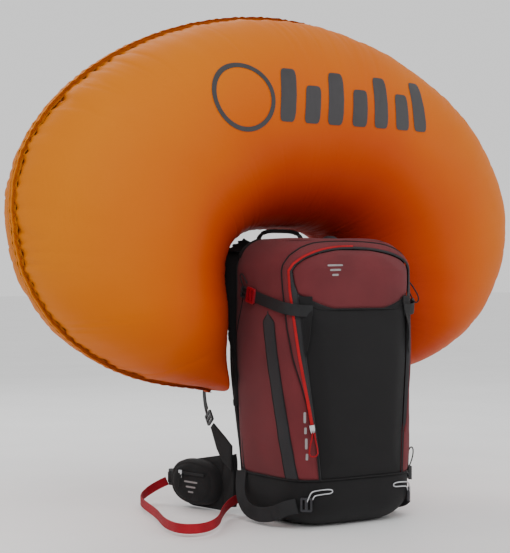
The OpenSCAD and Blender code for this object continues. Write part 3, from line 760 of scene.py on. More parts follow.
def make_zip():
    """Gusset, grey edging, red coil and the dark piping seam that run over the pocket."""
    count, steps = 90, 640
    gusset = mirror_line(edge_line(GUSSET_EDGE, count, 1.4, low=wall_h(168)))
    zip_line = mirror_line(edge_line(ZIP_EDGE, count, 3.6))
    dome_line = mirror_line(edge_line(DOME_EDGE, count, 1.4))
    strip("zip_gusset", gusset, zip_line, MAROON, 2.4, slot="maroon_fabric")
    strip("zip_edging", zip_line, dome_line, PIPING, 1.6, slot="grey_fabric")
    route = smooth_route(edge_line(ZIP_EDGE, count, 4.6, low=wall_h(178)), steps)
    teeth = tape_outline(6.4 * MM, 2.4 * MM)

    def coil(t):
        return ridged(teeth, t * steps * math.pi / 2, 0.12, 1 - 0.45 * t)

    piece("zip_coil", *sweep(route, facing_bag, coil), RED_COIL, slot="red_cord", replaces=("zip_track",))
    seam = mirror_line(edge_line(GUSSET_EDGE, count, 1.9, low=wall_h(BOOT_H)))
    piping("gusset_piping", smooth_route(seam, 260), facing_bag, 2.6, 2.6, BLACK, slot="black_fabric")
    seam = [bag(a, wall_h(seam_z(a)), 1.4) * MM for a in even_angles(CORNER_LEFT, CORNER_RIGHT, 60)]
    piping("dome_piping", seam, facing_bag, 2.8, 2.2, BLACK, slot="black_fabric")
    border = [bag(read_curve(FRONT_EDGE, h), h, 1.2) * MM for h in spread(wall_h(BOOT_H), wall_h(431), 60)]
    piping("front_edging_0", border, facing_bag, 4.2, 2.4, PIPING, slot="grey_fabric")
    piping("front_edging_2", mirrored(border), facing_bag, 4.2, 2.4, PIPING, slot="grey_fabric")


def ridged(outline, phase, depth, scale=1.0):
    """An outline that swells and shrinks, as a coil's teeth do along a zip."""
    grow = scale * (1 + depth * math.sin(phase))
    return [(a * grow, b) for a, b in outline]


def facing_bag(point, _):
    """Direction out of the bag's wall, or up out of its crown."""
    return (point - Vector((0, -0.012, min(point.z, CROWN_Z * MM)))).normalized()


# ---- things that lie on the bag ----

class Skin:
    """The outside of finished pieces, for laying straps and prints on."""

    def __init__(self, *objects):
        verts, faces = [], []
        for obj in objects:
            base = len(verts)
            verts += [v.co.copy() for v in obj.data.vertices]
            faces += [[base + i for i in f.vertices] for f in obj.data.polygons]
        self.tree = BVHTree.FromPolygons(verts, faces)

    def under(self, point, outward, lift=0.0):
        """Where the skin lies under a point in metres, seen along -outward, raised by `lift`."""
        outward = Vector(outward).normalized()
        hit, _, _, _ = self.tree.ray_cast(Vector(point) + outward * 0.05, -outward, 0.3)
        if hit is None:
            return Vector(point)
        return hit + outward * lift


def side_point(y, z, d, side=-1):
    """Point of the left (-1) or right (1) wall at a y and z in millimetres, `d` off the nominal wall."""
    half = mix(BASE_HALF, BAG_HALF, min(1, z / (0.6 * BAG_H)))
    front = mix(FRONT_LOW, FRONT_HIGH, z / BAG_H) - d
    rear = REAR_Y + d
    k = min(0.999, abs((y - (front + rear) / 2) / ((rear - front) / 2)))
    return mm(side * (half + d) * (1 - k ** SECTION_N) ** (1 / SECTION_N), y, z)


def make_bands(skin, side):
    """Grey strip down the side: pointed at its top, with piped edges."""
    name = SIDE_NAMES[side]
    rows = []
    for z in spread(400, BOOT_H + 2, 90):
        start = -65 - (390 - z) * 0.147
        finish = -32 - (390 - z) * 0.168
        narrow = smooth((400 - z) / 22)
        middle = (start + finish) / 2
        row = []
        for t in spread(-1, 1, 9):
            y = middle + t * narrow * (finish - start) / 2
            lift = (1.9 - 0.8 * abs(t) ** 3 + 0.35 * math.sin(z / 11)) * MM
            row.append(skin.under(side_point(y, z, 4, side), (side, -0.25, 0), lift))
        rows.append(row)
    rows = facing_out(rows, BAG_MIDDLE)
    piece(f"side_band_{name}", *thick_grid(rows, 1.6 * MM), GREY, slot="grey_fabric",
          replaces=("side_bands",))
    for edge in (0, -1):
        line = smooth_route([row[edge] for row in rows[2:]], 120)
        piping(f"band_piping_{name}_{edge + 1}", line, (side, -0.25, 0), 2.0, 1.8, BLACK, slot="black_fabric")


STRAP_STATIONS = [(34, 5.6), (20, 5.6), (5, 5.6), (-15, 5.6), (-35, 5.6), (-55, 5.6), (-72, 6.4), (-86, 8.4),
                  (-97, 9.4), (-106, 9.4), (-113, 9), (-119, 7.5), (-123, 5.5)]


def make_side_strap(side):
    points = [side_point(y, 436 + (y - 32) * 0.226, d, side) / MM for y, d in STRAP_STATIONS]
    name = SIDE_NAMES[side]

    def facing(point, _):
        return (point - mm(0, -10, point.z / MM)).normalized() + Vector((side * 0.9, 0, 0))

    tape(f"side_strap_{name}", points, 22, 1.9, facing, BLACK_TAPE, slot="black_webbing",
         replaces=(f"side_strap_{name}",))


SKI_LOOP = [(144, 60, 92), (149, 56, 68), (155, 44, 44), (158, 22, 26), (158, -8, 19), (158, -40, 21),
            (155, -70, 28), (148, -92, 38), (134, -109, 44)]


def make_ski_loop(side):
    points = [(side * x, y, z) for x, y, z in SKI_LOOP]
    name = SIDE_NAMES[side]

    def facing(point, _):
        return Vector((side * 0.9, -0.15 if point.y > -0.06 else -0.75, 0)).normalized()

    tape(f"ski_loop_{name}", points, 28, 2.2, facing, BLACK_TAPE, slot="black_webbing",
         replaces=(f"ski_loop_{name}",))


# ---- balloon ----

HUB_Z, LOBE_REACH, BALLOON_Y, HALF_DEPTH = 446, 143, 156, 184


def balloon_outer(psi):
    """Distance from the hub to the balloon's outer edge at an angle from straight up, in radians."""
    low, high = 0.0, 1200.0
    for _ in range(40):
        r = (low + high) / 2
        up = HUB_Z + r * math.cos(psi) - 605
        half, n = (380, 1.87) if up > 0 else (377, 2.35)
        if abs(r * math.sin(psi) / 578) ** n + abs(up / half) ** n < 1:
            low = r
        else:
            high = r
    return low


def balloon_inner(psi):
    c, s = math.cos(psi), abs(math.sin(psi))
    if c > 0:
        r = ((s / 152) ** 3 + (c / 114) ** 3) ** (-1 / 3)
    else:
        r = 152 / max(s, 1e-6)
    return min(r, 0.95 * balloon_outer(psi))


def balloon_station(psi):
    """Middle radius, half width and half depth of the tube at an angle."""
    outer, inner = balloon_outer(psi), balloon_inner(psi)
    t = max(0.0, abs(math.degrees(psi)) / LOBE_REACH - 0.75) / 0.25
    full = max(0.004, max(0.0, 1 - t ** 2.3) ** (1 / 2.3))
    slim = 1 - 0.35 * smooth((abs(math.degrees(psi)) - 95) / 38)
    return (outer + inner) / 2, (outer - inner) / 2 * full, HALF_DEPTH * slim * math.sqrt(full)


def crease(run, edge, side):
    """Long soft folds that run in from a seam, in millimetres."""
    lane = noise.noise(Vector((run / 52, side * 3, 8.5)))
    sharp = max(0.0, 1 - abs(noise.noise(Vector((run / 30, edge / 420, side + 2)))) * 5.5)
    return -4.4 * sharp * smooth((lane + 0.12) * 4) * math.exp(-edge / 95) * smooth(edge / 10)


def pucker(run, edge, side):
    """Depth in millimetres of gathers near a sewn seam: run is along it, edge is the distance from it."""
    tight = 0.5 + 0.5 * math.cos(2 * math.pi * run / 21 + 2.2 * noise.noise(Vector((run / 60, side, 0))))
    wide = noise.noise(Vector((run / 34, edge / 150, side + 5)))
    fine = -6.5 * tight * math.exp(-edge / 19) - 3.0 * math.exp(-edge / 10)
    return fine + 5.4 * wide * math.exp(-edge / 75) * smooth(edge / 12) + crease(run, edge, side)


def make_balloon():
    """Two cloth halves sewn round the rim and the notch, gathered where they are sewn."""
    reach = math.radians(LOBE_REACH)
    columns, steps = 620, 62
    angles = spread(-reach, reach, columns)
    stations = [balloon_station(a) for a in angles]
    run = [0.0]
    for k in range(1, columns):
        r, a = [sum(stations[i][:2]) for i in (k - 1, k)], angles[k - 1:k + 1]
        run.append(run[-1] + math.hypot(r[1] - r[0], r[0] * (a[1] - a[0])))
    halves = []
    for side, name in ((-1, "balloon_front"), (1, "balloon_rear")):
        rows = []
        for k, psi in enumerate(angles):
            middle, half, deep = stations[k]
            gathered = smooth((half - 30) / 60)
            line, arc, last = [], 0.0, None
            flat = []
            for phi in [math.pi * smooth_ends(t) for t in spread(0, 1, steps)]:
                r, y = middle + half * math.cos(phi), deep * math.sin(phi)
                if last:
                    arc += math.hypot(r - last[0], y - last[1])
                last = (r, y)
                flat.append((phi, r, y, arc))
            for phi, r, y, at in flat:
                normal = Vector((math.cos(phi) / max(half, 5), math.sin(phi) / max(deep, 5))).normalized()
                edge = min(at, arc - at)
                rise = pucker(run[k], edge, side) * gathered
                if at > arc / 2:
                    rise *= 0.7
                place = Vector((math.sin(psi) * r, y, math.cos(psi) * r)) / 170
                rise += 5.0 * noise.noise(place + Vector((side * 7, 2, 1))) * smooth(edge / 60) * gathered
                r, y = r + normal.x * rise, max(0.2, y + normal.y * rise)
                line.append(mm(math.sin(psi) * r, BALLOON_Y + side * y, HUB_Z + math.cos(psi) * r))
            rows.append(line)
        rows = facing_out(rows, mm(0, BALLOON_Y, 640))
        halves.append(piece(name, *thick_grid(rows, 0.5 * MM), BALLOON, slot="balloon_nylon",
                            replaces=(name,)))
    rim = []
    for k in range(0, columns, 2):
        middle, half, _ = stations[k]
        r = middle + half + 1.0 + 1.1 * math.sin(run[k] / 3.3)
        wave = 1.6 * math.sin(run[k] / 8.5 + 1.5 * noise.noise(Vector((run[k] / 50, 3, 3))))
        rim.append(mm(math.sin(angles[k]) * r, BALLOON_Y + wave, HUB_Z + math.cos(angles[k]) * r))
    outline = [(b, a) for a, b in tape_outline(2.2 * MM, 9 * MM)]
    piece("balloon_rim", *sweep(rim, (0, -1, 0), outline), BALLOON, slot="balloon_nylon")
    return halves


def smooth_ends(t):
    """0 to 1, with finer steps near both ends."""
    return t - math.sin(2 * math.pi * t) / (2 * math.pi) * 0.72


def patch(name, skin, centre, right, up, loops, outward, material, body="pack", lift=1.1, slot=None):
    """A print: closed loops of (across, upwards) millimetres laid on the skin round a centre."""
    right, up, outward = Vector(right).normalized(), Vector(up).normalized(), Vector(outward).normalized()
    verts = [skin.under(Vector(centre) + right * (x * MM) + up * (z * MM), outward, lift * MM)
             for loop in loops for x, z in loop]
    count = len(loops[0])
    faces = []
    for ring in range(len(loops) - 1):
        for k in range(count):
            a, b = ring * count + k, ring * count + (k + 1) % count
            faces.append((a, b, b + count, a + count))
    piece(name, verts, faces, material, body, slot=slot)


def decal(name, skin, centre, right, up, outline, outward, material, rings=9, **role):
    """A printed shape with the given outline, filled to its middle."""
    mid = [sum(p[k] for p in outline) / len(outline) for k in (0, 1)]
    loops = [[(mix(mid[0], a, t), mix(mid[1], b, t)) for a, b in outline] for t in spread(0, 1, rings + 1)]
    patch(name, skin, centre, right, up, loops, outward, material, slot="grey_fabric", **role)


def bar(width, height, slant=0.0, power=6, count=40):
    """Outline of a rounded bar, leaning by `slant` millimetres per millimetre of height."""
    result = []
    for c, s in circle(count):
        z = height / 2 * signed_power(s, 2 / power)
        result.append((width / 2 * signed_power(c, 2 / power) + slant * z, z))
    return result


def make_print(skin):
    """Plain ring and seven plain bars where a maker's print would be."""
    across, up, out = (1, 0, 0), (0, 0, 1), (0, -1, 0)
    ring_r, ring_width, low = 66, 9, 758
    loops = [[(r * c, r * s) for c, s in circle(72)] for r in spread(ring_r - ring_width, ring_r, 4)]
    patch("print_ring", skin, mm(-190, -40, 800), across, up, loops, out, PRINT)
    for k, x in enumerate((-92, -36, 20, 76, 132, 188, 240)):
        tall = 74 if k % 2 else 104
        decal(f"print_bar_{k}", skin, mm(x, -40, low + tall / 2), across, up, bar(36, tall, 0.12), out, PRINT)


# ---- harness ----

PAD_ROUTE = [(66, 127.5, 506), (67, 146, 504), (71, 178, 490), (78, 208, 458), (86, 227, 414),
             (93, 238, 370), (101, 243, 330), (108, 244, 296), (113, 242, 268)]
WEB_ROUTE = [(114, 240, 259), (126, 226, 232), (135, 208, 210), (140, 193, 195)]


def pad_outline(width, thick, groove=1.3, count=36):
    """Section of a foam strap: full edges, and two stitched channels along each face."""
    result = []
    for c, s in circle(count):
        x = width / 2 * signed_power(c, 0.62)
        z = thick / 2 * signed_power(s, 0.72)
        channel = groove * dip(abs(x) - width * 0.27, width * 0.035)
        result.append((x * MM, (z - math.copysign(channel, z)) * MM))
    return result


def make_shoulder_strap(side):
    name = SIDE_NAMES[side]
    body = f"strap_{name}"
    route = smooth_route([mm(side * x, y, z) for x, y, z in PAD_ROUTE], 110)

    def outline(t):
        ends = min(1.0, math.sqrt(max(0.0, 1 - (max(0.0, t - 0.93) / 0.075) ** 2)))
        swell = 1 + 0.035 * math.sin(t * 70) * (1 if 0.08 < t < 0.92 else 0)
        return [(a * max(ends, 0.25), b * swell) for a, b in pad_outline(62, 12.6)]

    pad = piece(f"shoulder_pad_{name}", *sweep(route, outward_of_strap, outline), FOAM_MESH, body,
                slot="black_fabric", replaces=(f"shoulder_strap_{name}",))
    frames = frames_along(route, outward_of_strap)
    for edge in (-1, 1):
        line = [p + f[1] * (edge * 30.5 * MM) for p, f in zip(route[2:-8], frames[2:-8])]
        piping(f"shoulder_binding_{name}_{edge + 1}", line, outward_of_strap, 3.2, 5.4, BLACK,
               body=body, slot="black_fabric")
    # on the left the trigger's socket takes the strap's lower part
    last = -6 if side > 0 else 56
    line = [p + f[2] * (6.6 * MM) for p, f in zip(route[4:last], frames[4:last])]
    piece(f"shoulder_daisy_{name}", *sweep(line, outward_of_strap, tape_outline(20 * MM, 1.8 * MM)),
          BLACK_TAPE, body, slot="black_webbing")
    points = [(side * x, y, z) for x, y, z in WEB_ROUTE]
    tape(f"lower_webbing_{name}", points, 20, 1.9, (side * 0.95, 0.05, -0.2), BLACK_TAPE,
         slot="black_webbing", replaces=(f"lower_webbing_{name}",))


def outward_of_strap(point, _):
    """The outer face of a shoulder strap turns from up, at the yoke, to rearwards, at its end."""
    lean = smooth((0.50 - point.z) / 0.09)
    return Vector((0, mix(0.25, 0.985, lean), mix(0.97, 0.17, lean)))


def rounded_panel(name, x_half, y0, y1, z0, z1, corner, grooves, material, **role):
    """A quilted pad: flat behind, crowned in front, with stitched channels."""
    outer, inner = [], []
    columns = 62
    for v in spread(0, 1, 88):
        z = mix(z0, z1, v)
        half = x_half(v)
        near = min(z - z0, z1 - z)
        if near < corner:
            half -= corner - math.sqrt(max(0.0, corner ** 2 - (corner - near) ** 2))
        out_row, in_row = [], []
        for u in spread(-1, 1, columns):
            x = u * half
            edge = min(half - abs(x), near + 2)
            rise = (y1 - y0) * (0.30 + 0.70 * smooth(edge / 20) ** 0.6)
            rise -= grooves(x, z) * smooth(edge / 12)
            rise += 0.8 * noise.noise(Vector((x / 60, z / 60, 4)))
            out_row.append(mm(x, y0 + rise, z))
            in_row.append(mm(x, y0, z))
        outer.append(out_row)
        inner.append(in_row)
    piece(name, *closed_pair(outer, inner), material, **role)


def make_back():
    """Quilted back panel and the lumbar cushion on it."""
    def channels(x, z):
        centre = 6.5 * dip(max(0, abs(x) - 10), 7) if 70 < z < 470 else 0
        cross = sum(2.6 * dip(z - level - 0.10 * abs(x), 4) for level in (150, 215, 280, 345, 410))
        return max(centre, cross)

    def lumbar_channels(x, z):
        return 2.8 * dip(abs(x) - 34, 4)

    rounded_panel("back_pad", lambda v: mix(110, 138, smooth(v * 1.6)), 106, 124.5, 40, 497, 34, channels,
                  FOAM_MESH, slot="grey_fabric", replaces=("back_panel",))
    rounded_panel("lumbar_cushion", lambda v: 90 - 6 * (2 * v - 1) ** 2, 124.6, 140.5, 45, 155, 26,
                  lumbar_channels, FOAM_MESH, slot="black_fabric", replaces=("lumbar_pad",))


def make_yoke():
    """Black panel over the top of the back, where the shoulder straps are sewn on."""
    rows = []
    levels, angles = 30, even_angles(160, 20, 80)
    for i, t in enumerate(spread(24.6, 84, levels)):
        row = []
        for j, angle in enumerate(angles):
            edge = min(i * 3.2, (levels - 1 - i) * 3.2, j * 5, (79 - j) * 5)
            lift = 1.6 + 3.6 * smooth(edge / 10) + 0.9 * grain(bag(angle, 1 + t / 90) * MM, 0.03, 9)
            row.append(bag(angle, 1 + t / 90, lift) * MM)
        rows.append(row)
    rows = facing_out(rows, BAG_MIDDLE)
    yoke = piece("yoke_cover", *thick_grid(rows, 3.0 * MM), BLACK, slot="black_fabric", replaces=("yoke",))
    cut_round(yoke, DUCT_LOW, DUCT_HIGH, DUCT_HOLE_R)


def make_duct_collar():
    """Binding round the hole that the duct comes out of."""
    line = []
    axis = (mm(*DUCT_HIGH) - mm(*DUCT_LOW)).normalized()
    across, up = axis.orthogonal().normalized(), axis.cross(axis.orthogonal()).normalized()
    for a in spread(0, 2 * math.pi, 49):
        along = axis * (COLLAR_AT + 1.5 * math.sin(2 * a)) * MM
        line.append(mm(*DUCT_LOW) + along + (across * math.cos(a) + up * math.sin(a)) * (COLLAR_R * MM))
    piping("duct_collar", line, axis, 5, 7, BLACK, slot="black_fabric")


def make_anchor_tab(side):
    name = SIDE_NAMES[side]
    tape(f"anchor_tab_{name}", [(side * 122, 98, 514), (side * 124.5, 122, 514), (side * 127, 146, 514)],
         20, 3, (0, 0, 1), BLACK_TAPE, slot="black_webbing", replaces=(f"anchor_tab_{name}",))


HANDLE_X, HANDLE_Y, HANDLE_Z = -12, 120, 519


def make_handle():
    """Webbing handle with a padded sleeve over its middle."""
    arc = []
    for a in spread(0, 180, 25):
        c, s = math.cos(math.radians(a)), max(0.0, math.sin(math.radians(a)))
        arc.append((HANDLE_X - 54 * signed_power(c, 0.55), HANDLE_Y, HANDLE_Z + 37 * s ** 0.55))

    def outwards(point, _):
        return (point - mm(HANDLE_X, HANDLE_Y, 500)).normalized()

    def padding(t):
        return ridged(oval_outline(17 * MM, 8 * MM, 20), t * 90, 0.04)

    tape("handle_webbing", arc, 14, 3.2, outwards, BLACK_TAPE, 90, body="haul_handle", slot="black_webbing",
         replaces=("haul_handle",))
    route = smooth_route([mm(*p) for p in arc[7:-7]], 60)
    sleeve = piece("handle_sleeve", *sweep(route, outwards, padding), BLACK, "haul_handle",
                   slot="black_webbing")


# ---- hip belt ----

WING_ROOT, WING_YAW, WING_START = (128, 113, 0), math.radians(10), 20
WING_CIRCLES = [(12, 15, 12), (12, 98, 12), (96, 43, 40), (110, 62, 30), (136, 52, 18)]


def wing_place(x, y, z, side=-1):
    """A point of a hip wing's own frame (x outwards is negative) in the CAD model's frame, in metres."""
    c, s = math.cos(WING_YAW), math.sin(WING_YAW)
    return mm(side * (WING_ROOT[0] - x * c + y * s), WING_ROOT[1] + x * s + y * c, z)


def wing_span(at):
    """Lowest and highest z of the wing's outline at a distance along it."""
    rim = []
    for s, z, r in WING_CIRCLES:
        rim += [(s + r * math.cos(k * math.pi / 16), z + r * math.sin(k * math.pi / 16)) for k in range(32)]
    before = [p for p in rim if p[0] <= at]
    after = [p for p in rim if p[0] >= at]
    levels = [mix(a[1], b[1], (at - a[0]) / max(b[0] - a[0], 1e-6)) for a in before for b in after]
    return min(levels), max(levels)


def make_wing(side):
    name = SIDE_NAMES[side]
    body = f"wing_{name}"
    outer, inner = [], []
    for at in [0.4 + 153.2 * (t - 0.1 * math.sin(2 * math.pi * t)) for t in spread(0, 1, 56)]:
        low, high = wing_span(at)
        out_row, in_row = [], []
        for v in spread(0, 1, 34):
            z = mix(low, high, v)
            edge = min(z - low, high - z, at + 3, 154 - at)
            bulge = 6 * (0.3 + 0.7 * smooth(edge / 12) ** 0.5)
            groove = 1.5 * dip(z - 67, 2.5) + 1.5 * dip(z - 37, 2.5)
            bulge -= groove * smooth(edge / 10)
            out_row.append(wing_place(-bulge, WING_START + at, z, side))
            in_row.append(wing_place(bulge, WING_START + at, z, side))
        outer.append(out_row)
        inner.append(in_row)
    pad = piece(f"hip_pad_{name}", *closed_pair(outer, inner), BLACK, body, slot="black_fabric",
                replaces=(f"hip_wing_{name}",))
    rim = [wing_place(0, WING_START + at, wing_span(at)[1], side) for at in spread(2, 152, 40)]
    rim += [wing_place(0, WING_START + at, wing_span(at)[0], side) for at in spread(152, 2, 40)]
    out = wing_place(-1, 0, 0, side) - wing_place(0, 0, 0, side)
    piping(f"hip_binding_{name}", smooth_route(rim, 200), out, 3, 5, BLACK, body=body, slot="black_fabric")
    web = [wing_place(-7.4, y, 53, side) / MM for y in spread(126 if side < 0 else 30, 190, 9)]
    width = 25 if side > 0 else 22
    tape(f"hip_webbing_{name}", web, width, 2, out, BLACK_TAPE, body=body, slot="black_webbing")
    make_wing_root(side)


def make_wing_root(side):
    """Cloth that joins the belt to the bag."""
    rows_out, rows_in = [], []
    for t in spread(0, 1, 14):
        low, high = wing_span(2)
        row_out, row_in = [], []
        for v in spread(0, 1, 24):
            thick = 2.2 + 2.4 * smooth(min(v, 1 - v) * 6)
            z = mix(mix(14, low, t), mix(118, high, t), v)
            start = Vector((side * 131, 101, z)) * MM
            end = wing_place(0, WING_START + 10, z, side)
            middle = start.lerp(end, t)
            push = Vector((side * thick * MM, 0, 0))
            wave = Vector((side * 1.2 * MM * math.sin(v * 9 + t * 3), 0, 0)) * math.sin(math.pi * t)
            row_out.append(middle + push + wave)
            row_in.append(middle - push + wave)
        rows_out.append(row_out)
        rows_in.append(row_in)
    name = SIDE_NAMES[side]
    root = piece(f"hip_root_{name}", *closed_pair(rows_out, rows_in), BLACK, None, slot="black_fabric")
    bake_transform(root)


def make_stabiliser(side):
    """Triangle of cloth that braces the belt to the bag."""
    corners = [(100, 84), (134, 100), (156, 124), (178, 164), (168, 173), (126, 150), (100, 134)]
    name = SIDE_NAMES[side]
    mid = [sum(p[k] for p in corners) / len(corners) for k in (0, 1)]
    ring = []
    for a, b in zip(corners, corners[1:] + corners[:1]):
        ring += [(mix(a[0], b[0], t / 8), mix(a[1], b[1], t / 8)) for t in range(8)]
    outer, inner = [], []
    for t in spread(0.02, 1, 10):
        thick = 2.0 * (0.55 + 0.45 * smooth((1 - t) * 5))
        outer.append([mm(side * (140 + thick), mix(mid[0], y, t), mix(mid[1], z, t)) for y, z in ring])
        inner.append([mm(side * (140 - thick), mix(mid[0], y, t), mix(mid[1], z, t)) for y, z in ring])
    piece(f"hip_stabiliser_{name}", *closed_pair(outer, inner, True), BLACK, slot="black_fabric",
          replaces=(f"hip_stabiliser_{name}",))


def make_pocket():
    """Zipped pouch on the left hip wing."""
    centre_y, centre_z, half_y, half_z, depth, power = 98, 53, 72, 46, 22, 2.4
    outer, inner = [], []
    for rho in spread(0.02, 1, 34):
        out_row, in_row = [], []
        for c, s in circle(88):
            y = centre_y + rho * half_y * signed_power(c, 2 / power)
            z = centre_z + rho * half_z * signed_power(s, 2 / power)
            bulge = (1 - rho ** 5) ** 0.42
            seam = 1.3 * dip((rho - 0.80) * half_z, 2.2)
            fold = 0.9 * noise.noise(Vector((y / 22, z / 16, 2))) * bulge
            zip_line = 1.2 * dip(z - 71, 4) * (1 if 50 < y < 150 else 0)
            out_row.append(wing_place(-6.6 - (depth - 0.6) * bulge + seam + fold + zip_line, y, z))
            in_row.append(wing_place(-6.2, y, z))
        outer.append(out_row)
        inner.append(in_row)
    pouch = piece("hip_pouch", *closed_pair(outer, inner, True), BLACK, "wing_left", slot="black_fabric",
                  replaces=("hip_pocket",))
    out = wing_place(-1, 0, 0) - wing_place(0, 0, 0)
    coil = [wing_place(-28.6, y, 70.5) / MM for y in spread(56, 140, 12)]
    tape("pocket_zip", coil, 6, 2.2, out, BLACK_TAPE, 120, body="wing_left", slot="black_fabric")
    loop = [(-35, 118, 68), (-36, 121, 58), (-36, 124, 46), (-35, 126, 38), (-36, 123, 45), (-36, 119, 58),
            (-35, 117.5, 68)]
    cord_piece("pocket_pull", [wing_place(*p) / MM for p in loop], 2.0, BLACK_TAPE, 60, body="pocket_slider",
               slot="black_fabric")
    return pouch


LEG_ROUTE = [(-166.5, 306, 44), (-178, 310, 39), (-193, 313, 32), (-210, 312, 24), (-228, 300, 18),
             (-244, 278, 15), (-258, 248, 15), (-270, 214, 15), (-282, 176, 15), (-294, 138, 15),
             (-308, 98, 15), (-324, 58, 15), (-338, 20, 15), (-346, -16, 15), (-346, -44, 15),
             (-334, -62, 15), (-312, -66, 15), (-286, -54, 15), (-258, -30, 15), (-232, 0, 15),
             (-208, 32, 16), (-184, 60, 19), (-160, 80, 25), (-134, 92, 31), (-112, 96, 32)]


def make_leg_strap():
    """Flat strap on its edge: from the belt's tip, over the floor and back into the base."""
    route = smooth_route([mm(*p) for p in LEG_ROUTE], 320)

    def side_on(point, t):
        k = min(len(route) - 2, max(1, int(t * (len(route) - 1))))
        run = (route[k + 1] - route[k - 1]).normalized()
        return run.cross(Vector((0, 0, 1)))

    strap = piece("leg_strap_webbing", *sweep(route, side_on, tape_outline(18 * MM, 2.8 * MM)), RED_TAPE,
                  slot="red_webbing", replaces=("leg_strap",))


# ---- small fittings and cords on the bag ----

CORD_LOOPS = {  # side, thickness and points of (y, z, distance out from the wall)
    "side_pull_left": (-1, 2.4, [(20, 452, 5), (24, 462, 8), (33, 470, 9), (38, 466, 9), (34, 456, 9),
                                 (28, 446, 8), (22, 440, 6), (18, 446, 5)]),
    "side_pull_right": (1, 2.8, [(-80, 458, 4), (-84, 448, 12), (-85, 430, 24), (-83, 419, 28),
                                 (-82, 414, 22), (-84, 424, 12), (-82, 440, 5)]),
    "low_pull_right": (1, 2.6, [(-92, 120, 4), (-95, 132, 10), (-96, 128, 15), (-97, 114, 14),
                                (-98, 98, 8), (-97, 90, 5)]),
}
CLIPS = {  # centre, direction across, direction up, size
    "rear_clip_left": (side_point(101, 258, 5, -1), (0.8, -0.6, 0), (0, 0, 1), (15, 22, 6)),
    "strap_clip_left": (side_point(27, 434.5, 7, -1), (0, -0.976, -0.22), (0, -0.22, 0.976), (22, 22, 3)),
    "strap_clip_right": (side_point(-86, 409, 11, 1), (0.45, 0.9, 0), (0, 0, 1), (18, 26, 5)),
    "low_clip_right": (side_point(-97, 84, 8, 1), (0.45, 0.9, 0), (0, 0, 1), (20, 26, 6)),
}


def make_details(skin):
    """Cord loops, clips, seams and corner flaps that the CAD model leaves out."""
    for name, (side, thick, points) in CORD_LOOPS.items():
        route = [side_point(y, z, d, side) / MM for y, z, d in points]
        loop, path = cord_piece(name, route, thick, BLACK_TAPE, 70)
    for name, clip in CLIPS.items():
        make_clip(name, *clip)
    seam = [skin.under(side_point(mix(34, 94, t), mix(440, 310, t ** 0.8), 4), (-1, 0, 0), 0.3 * MM)
            for t in spread(0, 1, 50)]
    piping("side_seam_left", seam, (-1, 0, 0), 2.4, 1.6, BLACK, slot="black_fabric")
    seam = [bag(a, wall_h(BOOT_H), 1.0) * MM for a in spread(0, 358, 200)]
    seam.append(seam[0])
    piping("boot_piping", seam, facing_bag, 3.0, 2.4, BLACK, slot="black_fabric")
    rear = [bag(a, h, 1.4) * MM for a, h in zip(spread(160, 153, 80), spread(wall_h(80), 1.2, 80))]
    piping("rear_piping_left", rear, facing_bag, 3.4, 3, PIPING, slot="grey_fabric")
    piping("rear_piping_right", mirrored(rear), facing_bag, 3.4, 3, PIPING, slot="grey_fabric")
    for side in SIDE_NAMES:
        make_corner_flap(side)


def make_corner_flap(side):
    """Loose black triangle at a front corner: sewn along the border, folded free along its other edge."""
    rows = []
    for t in spread(0, 1, 44):
        h = wall_h(mix(318, 428, t))
        left = read_curve(FRONT_EDGE, h) + 0.4
        row = []
        for u in spread(0, 1, 16):
            angle = left + 17 * t ** 0.75 * u
            lift = 5.0 + 5.0 * u ** 2 * math.sin(math.pi * min(1, t * 1.1))
            lift += 0.8 * math.sin(9 * t + 4 * u) * u
            point = bag(angle, h, lift) * MM
            row.append(Vector((-side * point.x, point.y, point.z)))
        rows.append(row)
    rows = facing_out(rows, BAG_MIDDLE)
    name = SIDE_NAMES[side]
    piece(f"corner_flap_{name}", *thick_grid(rows, 1.5 * MM), BLACK, slot="black_fabric")


def make_clip(name, centre, right, up, size):
    """Small clip: a bevelled frame with a middle bar."""
    right, up = Vector(right).normalized(), Vector(up).normalized()
    out = right.cross(up)
    width, height, thick = size
    solid = bpy.data.meshes.new(name)
    bm = bmesh.new()
    for across, low, high, wide in ((-0.42, -0.5, 0.5, 0.16), (0.42, -0.5, 0.5, 0.16), (0, 0.38, 0.5, 0.74),
                                    (0, -0.5, -0.36, 0.74), (0, -0.08, 0.06, 0.74)):
        for v in bmesh.ops.create_cube(bm, size=1)["verts"]:
            x = (across + v.co.x * wide) * width
            y = mix(low, high, v.co.y + 0.5) * height
            v.co = Vector(centre) + right * (x * MM) + up * (y * MM) + out * (v.co.z * thick * MM)
    bm.to_mesh(solid)
    bm.free()
    solid.materials.append(BLACK_PLASTIC)
    obj = add_object(name, solid)
    bake_bevel(obj, 0.7)
    for face in obj.data.polygons:
        face.use_smooth = True
    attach(obj, "pack")


